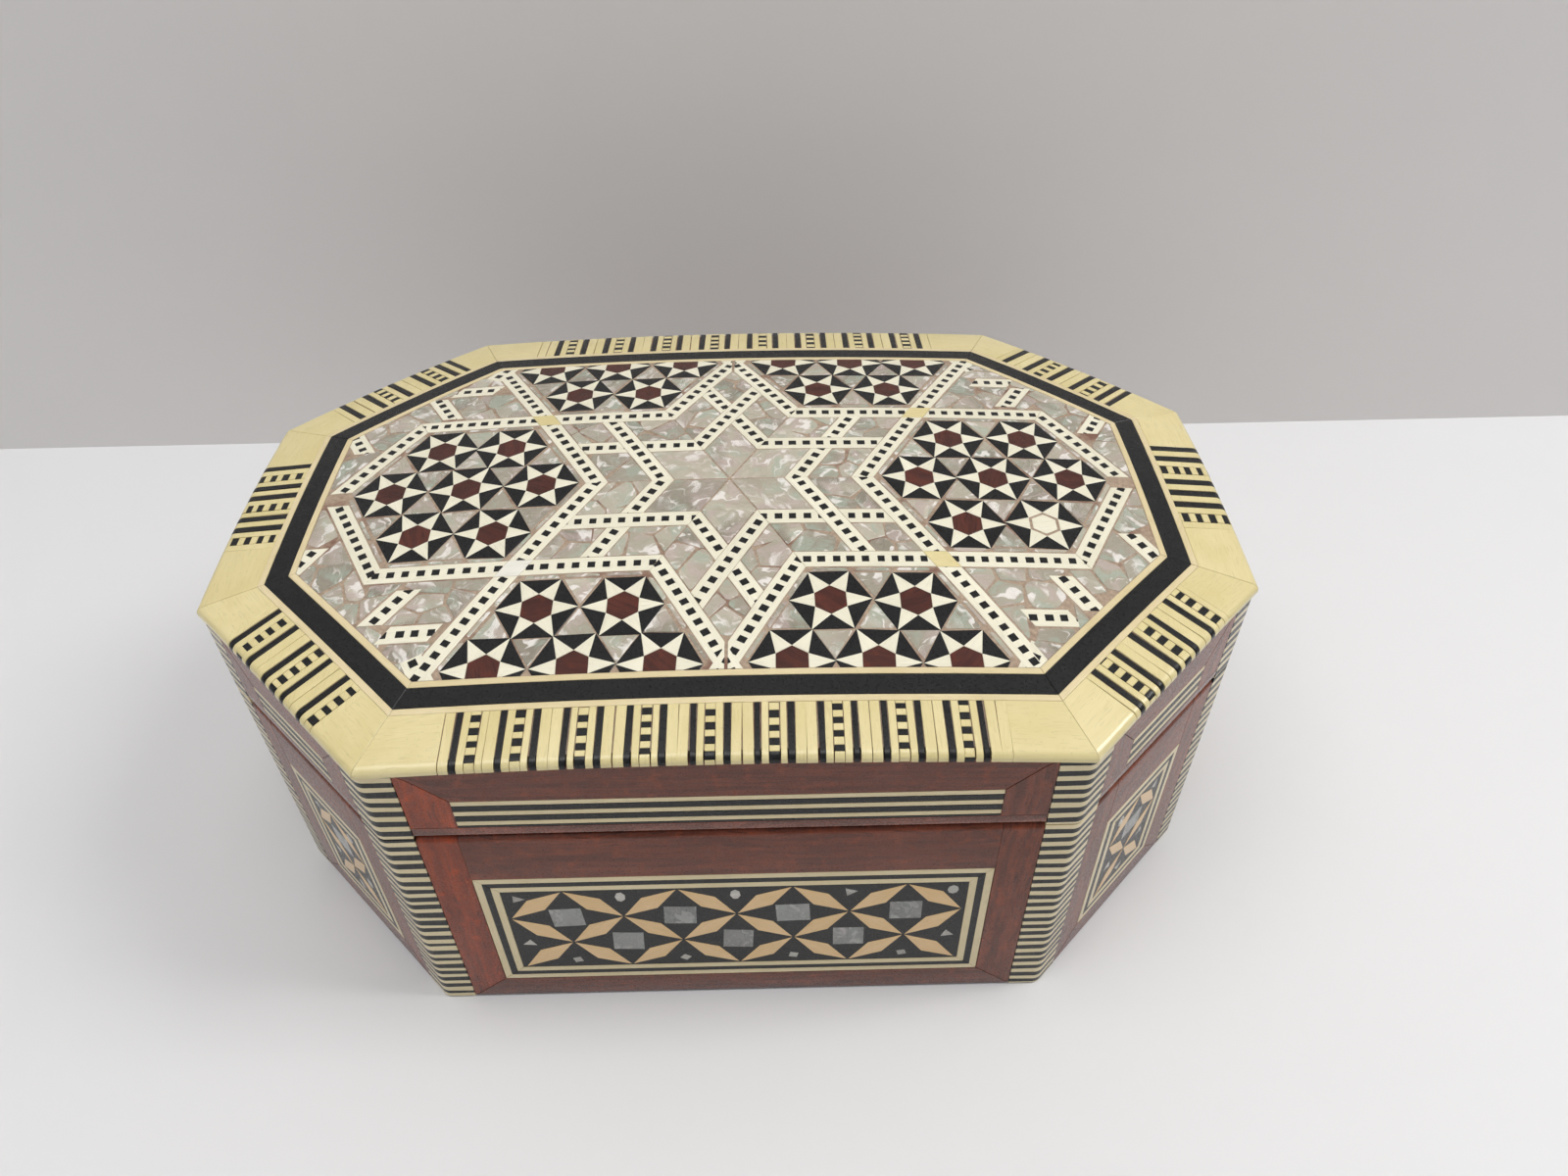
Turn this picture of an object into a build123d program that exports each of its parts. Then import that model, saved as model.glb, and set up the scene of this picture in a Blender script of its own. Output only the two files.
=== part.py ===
from build123d import *
import math
import os

# Octagonal marquetry box with a crowned lid, hinged at the back. Millimetres, +Z up.
# The origin is the centre of the underside, the front faces -Y and the long side lies along X.

# Overall sizes, over the bone edge of the lid
length = 168.0
width = 112.4
corner_cut = 32.0
body_height = 47.35
lid_height = 22.85
seam_gap = 0.3
crown_radius_along = 870.0
crown_radius_across = 311.0

# Carcase
wall_thickness = 4.8
base_thickness = 4.0
lid_wall_height = 10.35

# Side veneer
edge_overhang = 0.35
veneer = 1.2
strip_width = 5.0
corner_round = 2.0
body_stile_width = 6.2
body_bottom_rail = 5.6
body_top_rail = 10.95
body_bone_line = 1.2
body_black_line = 1.15
lid_stile_width = 7.0
lid_bottom_rail = 2.45
lid_bone_line = 1.0
lid_black_line = 1.35
lid_under_line = 0.5
lid_stile_reach = 0.5

# Inlay on the crowned top, from the edge inwards
top_inlay = 1.3
border_width = 8.9
outer_line = 1.1
band_width = 3.5
inner_line = 1.1
plate_length = 12.0
diagonal_plate_length = 9.5

# Linings
felt_thickness = 0.4
felt_margin = 3.0
floor_lining_thickness = 1.5
wall_lining_thickness = 1.0
lid_pad_thickness = 2.0
lining_rim_gap = 1.0

# Hinges
hinge_spacing = 60.0
hinge_length = 16.0
leaf_thickness = 0.6
leaf_depth = 5.4
leaf_fit = 0.05
knuckle_radius = 1.5
knuckle_gap = 0.1
pin_radius = 0.5
pin_running_fit = 0.05
pin_head_radius = 0.85
pin_head_length = 0.3
screw_offset = 4.5
screw_inset = 3.2
screw_shank_radius = 0.7
screw_head_radius = 1.3
screw_shank_length = 4.0
screw_slot_width = 0.35
screw_slot_depth = 0.3

# Stringing lines of the lid's side, from the bottom up
lid_line_stack = [
    ("black", lid_under_line),
    ("bone", lid_bone_line),
    ("black", lid_black_line),
    ("bone", lid_bone_line),
    ("black", lid_black_line),
    ("bone", lid_bone_line),
]
lid_lines_height = sum(line_height for kind, line_height in lid_line_stack)

# Heights that follow from the sizes above
lid_rim = body_height + seam_gap
lid_top = lid_rim + lid_height
board_underside = lid_rim + lid_wall_height
floor_z = felt_thickness + base_thickness
blank_top = lid_top + 1.0
blank_bottom = board_underside - 6.0

# Distances in from the overall outline
carcase_inset = edge_overhang + veneer
cavity_inset = carcase_inset + wall_thickness
lining_inset = cavity_inset + wall_lining_thickness
band_inset = border_width + outer_line
inner_line_inset = band_inset + band_width
field_inset = inner_line_inset + inner_line

# Hinge axis, just behind the back face at the height of the seam
back_face_y = width / 2 - edge_overhang
hinge_y = back_face_y + knuckle_gap + knuckle_radius
hinge_z = body_height + seam_gap / 2
knuckle_length = (hinge_length - 2 * knuckle_gap) / 3
knuckle_pitch = knuckle_length + knuckle_gap
hinge_centres = {"left": -hinge_spacing / 2, "right": hinge_spacing / 2}

FACE_NAMES = ["front", "front_right", "right", "back_right", "back", "back_left", "left", "front_left"]
BACK = FACE_NAMES.index("back")
faces = range(len(FACE_NAMES))


def corners(inset):
    """Plan corners of the outline moved in by inset, anticlockwise from the front left one."""
    x = length / 2 - inset
    y = width / 2 - inset
    cut = corner_cut - inset * (2 - math.sqrt(2))
    right = [(x - cut, -y), (x, -y + cut), (x, y - cut), (x - cut, y)]
    left = [(-px, py) for px, py in reversed(right)]
    return [left[-1], *right, *left[:-1]]


def corner_at(face, inset):
    """Corner where a face begins; the next face's corner is where it ends."""
    return Vector(*corners(inset)[face % 8])


def along(face):
    """Unit vector along a face, from its left end to its right end seen from outside."""
    return (corner_at(face + 1, 0) - corner_at(face, 0)).normalized()


def outward(face):
    """Unit vector square to a face, pointing out of the box."""
    direction = along(face)
    return Vector(direction.Y, -direction.X)


def face_length(face, inset):
    return (corner_at(face + 1, inset) - corner_at(face, inset)).length


def on_face(face, distance, inset):
    """Plan point at a distance along a face from its middle, moved in by inset."""
    middle = (corner_at(face, inset) + corner_at(face + 1, inset)) * 0.5
    return middle + along(face) * distance


def face_plane(face):
    """Sketch plane on the carcase: its X runs along the face, its Y up and its Z outwards."""
    return Plane(origin=on_face(face, 0, carcase_inset), x_dir=along(face), z_dir=outward(face))


def flat_points(points):
    return [(point.X, point.Y) for point in points]


def mitred_segment(face, outer_inset, inner_inset):
    """Plan outline of one side of a mitred octagonal ring."""
    return flat_points([
        corner_at(face, outer_inset),
        corner_at(face + 1, outer_inset),
        corner_at(face + 1, inner_inset),
        corner_at(face, inner_inset),
    ])


def prism(points, bottom, top):
    """Upright solid on a plan outline."""
    with BuildPart() as upright:
        with BuildSketch(Plane.XY.offset(bottom)):
            Polygon(*points)
        extrude(amount=top - bottom)
    return upright.part


def write(solid, name):
    solid.label = name
    export_step(solid, f"parts/{name}.step")


def write_group(solids, name):
    """Like pieces that stay separate solids in one node."""
    write(Compound(children=list(solids)), name)


def crown_core(depth):
    """Solid under the crowned surface moved in by depth: an arc across the box, swung along it."""
    swing_axis = Axis((0, 0, lid_top - crown_radius_along), (0, 1, 0))
    swing = 2 * math.degrees(math.asin(0.6 * length / crown_radius_along))
    arc_radius = crown_radius_across - depth
    arc_centre_z = lid_top - crown_radius_across
    half_width = 0.6 * width
    arc_end_z = arc_centre_z + math.sqrt(arc_radius**2 - half_width**2)
    with BuildPart() as core:
        with BuildSketch(Plane.YZ):
            with BuildLine():
                ThreePointArc(
                    (-half_width, arc_end_z), (0, arc_centre_z + arc_radius), (half_width, arc_end_z)
                )
                Polyline(
                    (half_width, arc_end_z), (half_width, 0), (-half_width, 0), (-half_width, arc_end_z)
                )
            make_face()
        revolve(axis=swing_axis, revolution_arc=swing)
    return core.part.rotate(swing_axis, -swing / 2)


os.makedirs("parts", exist_ok=True)
board_blank = crown_core(top_inlay)
inlay_skin = crown_core(0) - board_blank


# Body carcase
with BuildPart() as base_board:
    with BuildSketch(Plane.XY.offset(felt_thickness)):
        Polygon(*corners(carcase_inset))
    extrude(amount=base_thickness)
write(base_board.part, "base_board")

with BuildPart() as base_felt:
    with BuildSketch():
        Polygon(*corners(edge_overhang + felt_margin))
    extrude(amount=felt_thickness)
write(base_felt.part, "base_felt")


def leaf_recess(side):
    """Shallow pockets for both leaves in a rim: side is -1 for the body's rim and 1 for the lid's."""
    pocket_depth = leaf_depth + leaf_fit
    pocket_z = hinge_z + side * (seam_gap + leaf_thickness) / 2
    with BuildPart() as pockets:
        with Locations(*[(x, back_face_y - pocket_depth / 2, pocket_z) for x in hinge_centres.values()]):
            Box(hinge_length + 2 * leaf_fit, pocket_depth, leaf_thickness)
    return pockets.part


def screw_points():
    """Plan places of the screws of both hinges."""
    return [
        (x + offset, back_face_y - screw_inset)
        for x in hinge_centres.values()
        for offset in (-screw_offset, screw_offset)
    ]


def screw_holes(side):
    """Pilot holes below or above the leaves."""
    hole_z = hinge_z + side * (seam_gap / 2 + leaf_thickness + screw_shank_length / 2)
    with BuildPart() as holes:
        with Locations(*[(x, y, hole_z) for x, y in screw_points()]):
            Cylinder(screw_shank_radius, screw_shank_length)
    return holes.part


def carcase_wall(face, bottom, top, side):
    """One mitred wall; the back one is let in and drilled for the hinges."""
    with BuildPart() as wall:
        with BuildSketch(Plane.XY.offset(bottom)):
            Polygon(*mitred_segment(face, carcase_inset, cavity_inset))
        extrude(amount=top - bottom)
        if face == BACK:
            add(leaf_recess(side), mode=Mode.SUBTRACT)
            add(screw_holes(side), mode=Mode.SUBTRACT)
    return wall.part


for index, name in enumerate(FACE_NAMES):
    write(carcase_wall(index, floor_z, body_height, -1), f"body_wall_{name}")
    write(carcase_wall(index, lid_rim, board_underside, 1), f"lid_wall_{name}")

with BuildPart() as lid_board:
    with BuildSketch(Plane.XY.offset(board_underside)):
        Polygon(*corners(carcase_inset))
    extrude(amount=blank_top - board_underside)
    add(board_blank, mode=Mode.INTERSECT)
write(lid_board.part, "lid_board")


# Side veneer
def corner_strip(face, bottom, top, lid=False):
    """Strip wrapped round the corner where a face begins, with its upright edge rounded."""
    corner = corner_at(face, edge_overhang)
    here = corner + along(face) * strip_width
    before = corner - along(face - 1) * strip_width
    outline = flat_points([
        corner,
        here,
        here - outward(face) * veneer,
        corner_at(face, carcase_inset),
        before - outward(face - 1) * veneer,
        before,
    ])
    with BuildPart() as strip:
        with BuildSketch(Plane.XY.offset(bottom)):
            Polygon(*outline)
        extrude(amount=top - bottom)
        upright_edge = strip.edges().filter_by(Axis.Z).sort_by_distance((corner.X, corner.Y, bottom))[0]
        fillet(upright_edge, radius=corner_round)
        if lid:
            add(board_blank, mode=Mode.INTERSECT)
    return strip.part


def veneer_piece(face, outline, lid=False):
    """Flat piece on a face, from its outline along and up the face; a lid's piece ends under the crown."""
    with BuildPart() as piece:
        with BuildSketch(face_plane(face)):
            Polygon(*outline)
        extrude(amount=veneer)
        if lid:
            add(board_blank, mode=Mode.INTERSECT)
        if face == BACK:
            add(leaf_recess(-1), mode=Mode.SUBTRACT)
            add(leaf_recess(1), mode=Mode.SUBTRACT)
    return piece.part


def rectangle(left, right, bottom, top):
    return [(left, bottom), (right, bottom), (right, top), (left, top)]


def half_zone(face):
    """Half the width between the corner strips of a face."""
    return face_length(face, edge_overhang) / 2 - strip_width


def body_rails(face):
    """Top rail between the stiles, and a bottom rail mitred into them."""
    outer = half_zone(face)
    inner = outer - body_stile_width
    bottom = felt_thickness
    bottom_rail = [(-outer, bottom), (outer, bottom), (inner, bottom + body_bottom_rail),
                   (-inner, bottom + body_bottom_rail)]
    top_rail = rectangle(-inner, inner, body_height - body_top_rail, body_height)
    return [veneer_piece(face, bottom_rail), veneer_piece(face, top_rail)]


def body_stiles(face):
    outer = half_zone(face)
    inner = outer - body_stile_width
    bottom = felt_thickness
    return [
        veneer_piece(face, [(side * outer, bottom), (side * inner, bottom + body_bottom_rail),
                            (side * inner, body_height), (side * outer, body_height)])
        for side in (-1, 1)
    ]


def lid_mitre_top(face):
    """Height of a stile's outer tip: it just reaches the border above, wherever the crown puts that."""
    tip = on_face(face, half_zone(face), edge_overhang)
    swing = crown_radius_along - crown_radius_across + math.sqrt((crown_radius_across - top_inlay) ** 2 - tip.Y**2)
    return lid_top - crown_radius_along + math.sqrt(swing**2 - tip.X**2) + lid_stile_reach


def lid_rails(face):
    """Bottom rail between the strips, and a top rail mitred into the stiles."""
    outer = half_zone(face)
    inner = outer - lid_stile_width
    lines_top = lid_rim + lid_bottom_rail + lid_lines_height
    mitre_top = lid_mitre_top(face)
    bottom_rail = rectangle(-outer, outer, lid_rim, lid_rim + lid_bottom_rail)
    top_rail = [(-inner, lines_top), (inner, lines_top), (outer, mitre_top), (outer, blank_top),
                (-outer, blank_top), (-outer, mitre_top)]
    return [veneer_piece(face, bottom_rail, True), veneer_piece(face, top_rail, True)]


def lid_stiles(face):
    outer = half_zone(face)
    inner = outer - lid_stile_width
    bottom = lid_rim + lid_bottom_rail
    lines_top = bottom + lid_lines_height
    mitre_top = lid_mitre_top(face)
    return [
        veneer_piece(face, [(side * outer, bottom), (side * inner, bottom), (side * inner, lines_top),
                            (side * outer, mitre_top)], True)
        for side in (-1, 1)
    ]


def frame_ring(face, outer_margin, ring_width):
    """Rectangular line round the body tablet of a face, as one piece."""
    half = half_zone(face) - body_stile_width - outer_margin
    bottom = felt_thickness + body_bottom_rail + outer_margin
    top = body_height - body_top_rail - outer_margin
    with BuildPart() as ring:
        with BuildSketch(face_plane(face)):
            Polygon(*rectangle(-half, half, bottom, top))
            Polygon(
                *rectangle(-half + ring_width, half - ring_width, bottom + ring_width, top - ring_width),
                mode=Mode.SUBTRACT,
            )
        extrude(amount=veneer)
    return ring.part


def body_tablet(face):
    margin = 2 * body_bone_line + body_black_line
    half = half_zone(face) - body_stile_width - margin
    bottom = felt_thickness + body_bottom_rail + margin
    top = body_height - body_top_rail - margin
    return veneer_piece(face, rectangle(-half, half, bottom, top))


def lid_lines(face):
    """Bone and black lines of the lid's side, from the bottom up, as two lists."""
    half = half_zone(face) - lid_stile_width
    z = lid_rim + lid_bottom_rail
    bone, black = [], []
    for kind, line_height in lid_line_stack:
        line = veneer_piece(face, rectangle(-half, half, z, z + line_height))
        (bone if kind == "bone" else black).append(line)
        z += line_height
    return bone, black


body_strips = [corner_strip(face, felt_thickness, body_height) for face in faces]
write_group(body_strips, "body_corner_strips")
write_group([rail for face in faces for rail in body_rails(face)], "body_rails")
write_group([stile for face in faces for stile in body_stiles(face)], "body_stiles")
bone_rings = [frame_ring(face, 0, body_bone_line) for face in faces]
bone_rings += [frame_ring(face, body_bone_line + body_black_line, body_bone_line) for face in faces]
write_group(bone_rings, "body_bone_lines")
write_group([frame_ring(face, body_bone_line, body_black_line) for face in faces], "body_black_lines")
write_group([body_tablet(face) for face in faces], "body_marquetry_tablets")

write_group([corner_strip(face, lid_rim, blank_top, True) for face in faces], "lid_corner_strips")
write_group([rail for face in faces for rail in lid_rails(face)], "lid_rails")
write_group([stile for face in faces for stile in lid_stiles(face)], "lid_stiles")
write_group([line for face in faces for line in lid_lines(face)[0]], "lid_bone_lines")
write_group([line for face in faces for line in lid_lines(face)[1]], "lid_black_lines")


# Inlay on the crowned top
def top_piece(outline, hole=None):
    """Piece of the top inlay: a plan outline raised through the crowned skin."""
    with BuildPart() as piece:
        with BuildSketch(Plane.XY.offset(blank_bottom)):
            Polygon(*outline)
            if hole:
                Polygon(*hole, mode=Mode.SUBTRACT)
        extrude(amount=blank_top - blank_bottom)
        add(inlay_skin, mode=Mode.INTERSECT)
    return piece.part


def border_half(face):
    """Half the length of a side's run of cross blocks."""
    is_diagonal = face % 2 == 1
    return face_length(face, 0) / 2 - (diagonal_plate_length if is_diagonal else plate_length)


def border_plates(face):
    """The two plain plates of a side, mitred at the corners."""
    half = border_half(face)
    left = [corner_at(face, 0), on_face(face, -half, 0), on_face(face, -half, border_width),
            corner_at(face, border_width)]
    right = [on_face(face, half, 0), corner_at(face + 1, 0), corner_at(face + 1, border_width),
             on_face(face, half, border_width)]
    return [top_piece(flat_points(left)), top_piece(flat_points(right))]


def border_blocks(face):
    half = border_half(face)
    return top_piece(flat_points([
        on_face(face, -half, 0),
        on_face(face, half, 0),
        on_face(face, half, border_width),
        on_face(face, -half, border_width),
    ]))


write(top_piece(corners(field_inset)), "field_marquetry")
write(top_piece(corners(inner_line_inset), corners(field_inset)), "inner_bone_line")
write(top_piece(corners(band_inset), corners(inner_line_inset)), "black_band")
write(top_piece(corners(border_width), corners(band_inset)), "outer_bone_line")
write_group([plate for face in faces for plate in border_plates(face)], "border_plates")
write_group([border_blocks(face) for face in faces], "border_cross_blocks")


# Linings
with BuildPart() as floor_lining:
    with BuildSketch(Plane.XY.offset(floor_z)):
        Polygon(*corners(cavity_inset))
    extrude(amount=floor_lining_thickness)
write(floor_lining.part, "floor_lining")

with BuildPart() as lid_pad:
    with BuildSketch(Plane.XY.offset(board_underside - lid_pad_thickness)):
        Polygon(*corners(cavity_inset))
    extrude(amount=lid_pad_thickness)
write(lid_pad.part, "lid_pad")


def wall_lining(bottom, top):
    return [prism(mitred_segment(face, cavity_inset, lining_inset), bottom, top) for face in faces]


write_group(wall_lining(floor_z + floor_lining_thickness, body_height - lining_rim_gap), "body_wall_lining")
write_group(wall_lining(lid_rim + lining_rim_gap, board_underside - lid_pad_thickness), "lid_wall_lining")


# Hinges
def hinge_leaf(centre_x, side, knuckle_places, bore_radius):
    """Leaf with its knuckles: side is -1 for the leaf in the body's rim and 1 for the lid's."""
    leaf_z = hinge_z + side * (seam_gap + leaf_thickness) / 2
    tab = hinge_y - back_face_y
    with BuildPart() as leaf:
        with Locations((centre_x, back_face_y - leaf_depth / 2, leaf_z)):
            Box(hinge_length, leaf_depth, leaf_thickness)
        with Locations(*[(centre_x + place, back_face_y + tab / 2, leaf_z) for place in knuckle_places]):
            Box(knuckle_length, tab, leaf_thickness)
        for place in knuckle_places:
            with Locations(Location((centre_x + place, hinge_y, hinge_z), (0, 90, 0))):
                Cylinder(knuckle_radius, knuckle_length)
        with Locations(Location((centre_x, hinge_y, hinge_z), (0, 90, 0))):
            Cylinder(bore_radius, hinge_length, mode=Mode.SUBTRACT)
        tilt = 0 if side < 0 else 180
        near = [point for point in screw_points() if abs(point[0] - centre_x) < hinge_length]
        seats = [Location((x, y, leaf_z), (tilt, 0, 0)) for x, y in near]
        with Locations(*seats):
            Cone(screw_shank_radius, screw_head_radius, leaf_thickness, mode=Mode.SUBTRACT)
    return leaf.part


def hinge_pin(centre_x):
    """Pin held in the outer knuckles by a peened head at each end."""
    with BuildPart() as pin:
        with Locations(Location((centre_x, hinge_y, hinge_z), (0, 90, 0))):
            Cylinder(pin_radius, hinge_length)
        for end in (-1, 1):
            head_x = centre_x + end * (hinge_length + pin_head_length) / 2
            with Locations(Location((head_x, hinge_y, hinge_z), (0, 90, 0))):
                Cylinder(pin_head_radius, pin_head_length)
    return pin.part


def hinge_screw(x, y, side):
    """Countersunk slotted screw, its head flush in the leaf."""
    tilt = 0 if side < 0 else 180
    seat_z = hinge_z + side * seam_gap / 2
    with BuildPart() as screw:
        with Locations(Location((x, y, seat_z), (tilt, 0, 0))):
            Cone(screw_shank_radius, screw_head_radius, leaf_thickness,
                 align=(Align.CENTER, Align.CENTER, Align.MAX))
            with Locations((0, 0, -leaf_thickness)):
                Cylinder(screw_shank_radius, screw_shank_length,
                         align=(Align.CENTER, Align.CENTER, Align.MAX))
            Box(2 * screw_head_radius, screw_slot_width, screw_slot_depth,
                align=(Align.CENTER, Align.CENTER, Align.MAX), mode=Mode.SUBTRACT)
    return screw.part


for hand, x in hinge_centres.items():
    outer_places = [-knuckle_pitch, knuckle_pitch]
    write(hinge_leaf(x, -1, outer_places, pin_radius), f"lower_hinge_leaf_{hand}")
    write(hinge_leaf(x, 1, [0], pin_radius + pin_running_fit), f"upper_hinge_leaf_{hand}")
    write(hinge_pin(x), f"hinge_pin_{hand}")
write_group([hinge_screw(x, y, -1) for x, y in screw_points()], "lower_hinge_screws")
write_group([hinge_screw(x, y, 1) for x, y in screw_points()], "upper_hinge_screws")
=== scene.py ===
"""Octagonal marquetry trinket box: every visible piece and finish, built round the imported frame."""
import functools
import math
import random

import bmesh
import bpy
from bpy.props import FloatProperty, FloatVectorProperty, IntProperty, PointerProperty
from mathutils import Matrix, Vector


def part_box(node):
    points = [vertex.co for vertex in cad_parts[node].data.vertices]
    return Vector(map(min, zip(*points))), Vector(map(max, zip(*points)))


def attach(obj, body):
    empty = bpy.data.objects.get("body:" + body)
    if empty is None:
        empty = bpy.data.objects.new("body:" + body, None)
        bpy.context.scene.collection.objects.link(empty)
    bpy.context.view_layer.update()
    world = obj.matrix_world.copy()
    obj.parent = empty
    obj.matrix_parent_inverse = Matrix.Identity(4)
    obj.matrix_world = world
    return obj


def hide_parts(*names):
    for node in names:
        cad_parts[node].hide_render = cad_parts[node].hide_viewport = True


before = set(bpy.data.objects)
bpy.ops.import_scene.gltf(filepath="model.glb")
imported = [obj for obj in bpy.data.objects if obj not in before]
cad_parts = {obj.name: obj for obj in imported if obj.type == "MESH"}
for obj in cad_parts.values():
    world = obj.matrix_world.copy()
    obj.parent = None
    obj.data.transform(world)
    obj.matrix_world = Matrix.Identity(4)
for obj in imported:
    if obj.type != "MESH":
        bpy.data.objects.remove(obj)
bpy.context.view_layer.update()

bl_info = {
    "name": "Marquetry trinket box",
    "version": (1, 0, 0),
    "blender": (4, 5, 0),
    "location": "3D View > Sidebar > Trinket Box",
    "description": "Builds the inlaid lid, striped corners, side tablets and velvet of an octagonal box",
    "category": "Add Mesh",
}

MM = 0.001
CLOSE = 1e-4
FACES = range(8)
FRONT, FRONT_RIGHT, RIGHT, BACK, LEFT, FRONT_LEFT = 0, 1, 2, 4, 6, 7
CONTOUR = math.radians(24)


# ---------------------------------------------------------------- sizes and colours

def size(name, description, millimetres):
    """A length property with its default in millimetres."""
    return FloatProperty(
        name=name, description=description, default=millimetres * MM, min=0.0, subtype="DISTANCE", unit="LENGTH",
        precision=5,
    )


def colour(name, description, red, green, blue):
    """A colour property from display values of 0 to 255."""
    linear = [((part / 255 + 0.055) / 1.055) ** 2.4 for part in (red, green, blue)]
    return FloatVectorProperty(
        name=name, description=description, default=linear, min=0.0, max=1.0, size=3, subtype="COLOR",
    )


class CrownSizes(bpy.types.PropertyGroup):
    """The lid's curved top."""
    radius_along: size("Radius along", "Radius of the crown along the box", 870.0)
    radius_across: size("Radius across", "Radius of the crown across the box", 311.0)
    edge_round: size("Edge round", "Radius worn on the border's outer edge", 1.1)
    step_along: size("Step along", "Longest flat stretch along the box before a piece follows the crown", 11.0)
    step_across: size("Step across", "The same across the box, where the crown is tighter", 7.0)
    piece_edge: size("Piece edge", "Width of the softened edge of each piece", 0.06)


class FieldSizes(bpy.types.PropertyGroup):
    """The strapwork, rosettes and pearl inside the black band."""
    hexagon_x: size("Hexagon along", "Circumradius of the strap hexagons along the box", 22.6)
    hexagon_y: size("Hexagon across", "The same across the box, a little stretched by hand work", 23.35)
    strap_width: size("Strap width", "Width of a dashed bone strap", 3.5)
    square: size("Square", "Side of the black squares in a strap", 1.3)
    square_pitch: size("Square pitch", "Distance between squares", 2.38)
    joint: size("Joint", "Paste showing beside a strap", 0.2)
    rosette_pitch_x: size("Rosette pitch along", "Distance between rosettes in a row", 12.95)
    rosette_pitch_y: size("Rosette pitch across", "Distance between rows of rosettes", 11.65)
    rosette_radius: size("Rosette radius", "Centre to point of a rosette", 6.45)
    core_radius: size("Core radius", "Centre to corner of a rosette's wood core", 2.8)
    pearl_pitch: size("Pearl pitch", "Usual distance between pearl pieces in the star", 6.2)
    bed_depth: size("Bed depth", "How far the paste lies below the pieces", 0.09)
    seed: IntProperty(name="Seed", description="Start of the random draws for the pieces", default=7)


class BorderSizes(bpy.types.PropertyGroup):
    """The plates and cross blocks outside the black band."""
    plate_length: size("Plate length", "Length of a plain plate on the long sides", 12.0)
    end_plate_length: size("End plate length", "Length of a plain plate on the ends", 12.8)
    diagonal_plate_length: size("Diagonal plate length", "Length of a plain plate on the diagonals", 9.5)
    black_line: size("Black line", "Width of a black cross line", 1.0)
    bone_line: size("Bone line", "Width of a bone cross line", 1.1)
    dash_column: size("Dash column", "Width of a column of squares", 1.45)
    wide_bone: size("Wide bone", "Width of one bone bar between units", 1.55)
    dash_pitch: size("Dash pitch", "Distance between black squares in a column", 2.15)
    bar_gap: size("Bar gap", "Paste between two bars", 0.09)


class SideSizes(bpy.types.PropertyGroup):
    """The inlay of the eight sides."""
    strip_width: size("Strip width", "Width of a striped corner strip on each face", 5.0)
    stripe_pitch: size("Stripe pitch", "One bone and one black lamination", 2.25)
    corner_round: size("Corner round", "Radius of the upright edges", 2.0)
    body_stile: size("Body stile", "Width of the body's stiles", 6.2)
    body_bottom_rail: size("Body bottom rail", "Height of the body's bottom rail", 5.6)
    body_top_rail: size("Body top rail", "Height of the body's top rail", 10.95)
    body_bone_line: size("Body bone line", "Width of a bone line round a tablet", 1.2)
    body_black_line: size("Body black line", "Width of the black line round a tablet", 1.15)
    lid_stile: size("Lid stile", "Width of the lid's stiles", 7.0)
    lid_stile_reach: size("Lid stile reach", "How far a stile's tip runs under the border", 0.5)
    lid_bottom_rail: size("Lid bottom rail", "Height of the lid's bottom rail", 2.45)
    lid_bone_line: size("Lid bone line", "Height of a bone line in the lid's side", 1.0)
    lid_black_line: size("Lid black line", "Height of a black line between them", 1.35)
    lid_under_line: size("Lid under line", "Height of the thin black line below them", 0.5)
    rim_round: size("Rim round", "Radius worn on both sides of the seam", 1.05)
    foot_round: size("Foot round", "Radius worn along the foot", 0.4)
    joint: size("Joint", "Gap between veneer pieces", 0.08)
    piece_edge: size("Piece edge", "Width of the softened edge of each piece", 0.05)
    pearl_square: size("Pearl square", "Side of the pearl squares in a tablet", 5.15)
    bed_depth: size("Bed depth", "How far the black ground lies below the tablet's pieces", 0.05)


class Finishes(bpy.types.PropertyGroup):
    """Colours of the materials."""
    strap_bone: colour("Strap bone", "Cream bone of the straps and rosettes", 234, 229, 208)
    border_bone: colour("Border bone", "Yellowed bone of the border", 222, 208, 158)
    side_bone: colour("Side bone", "Tan bone of the side tablets", 228, 192, 140)
    line_bone: colour("Line bone", "Greyed bone of the side lines and corner strips", 222, 206, 166)
    black: colour("Black", "Black inlay", 13, 14, 15)
    core_wood: colour("Core wood", "Red-brown wood of the rosette cores", 84, 36, 24)
    rosewood: colour("Rosewood", "Veneer of rails and stiles", 126, 62, 38)
    orange_wood: colour("Orange wood", "The warmer stiles at the front left", 160, 66, 24)
    pearl: colour("Pearl", "Mother of pearl", 176, 168, 150)
    pearl_grey: colour("Grey pearl", "Grey shell of the side squares", 128, 130, 126)
    paste: colour("Paste", "Filler between the pieces", 172, 150, 128)
    glue: colour("Glue", "Red-brown glue in the joints", 104, 54, 36)
    velvet: colour("Velvet", "Lining cloth", 118, 14, 26)
    felt: colour("Felt", "Skin under the base", 34, 62, 46)
    brass: colour("Brass", "Hinges and screws", 206, 166, 96)
    carcase: colour("Carcase", "Stained wood of the walls", 84, 46, 30)
    floor: colour("Floor", "Floor under the box", 226, 226, 227)
    wall: colour("Wall", "Wall behind the box", 226, 223, 221)


class InMillimetres:
    """Reads a property group's lengths in millimetres, the unit the pieces are modelled in."""

    def __init__(self, group):
        self.group = group

    def __getattr__(self, name):
        value = getattr(self.group, name)
        return value / MM if isinstance(value, float) else value


def sizes(part):
    return InMillimetres(getattr(bpy.context.scene, "box_" + part))


# ---------------------------------------------------------------- places from the frame, in millimetres

def low(node):
    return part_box(node)[0] / MM


def high(node):
    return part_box(node)[1] / MM


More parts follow.
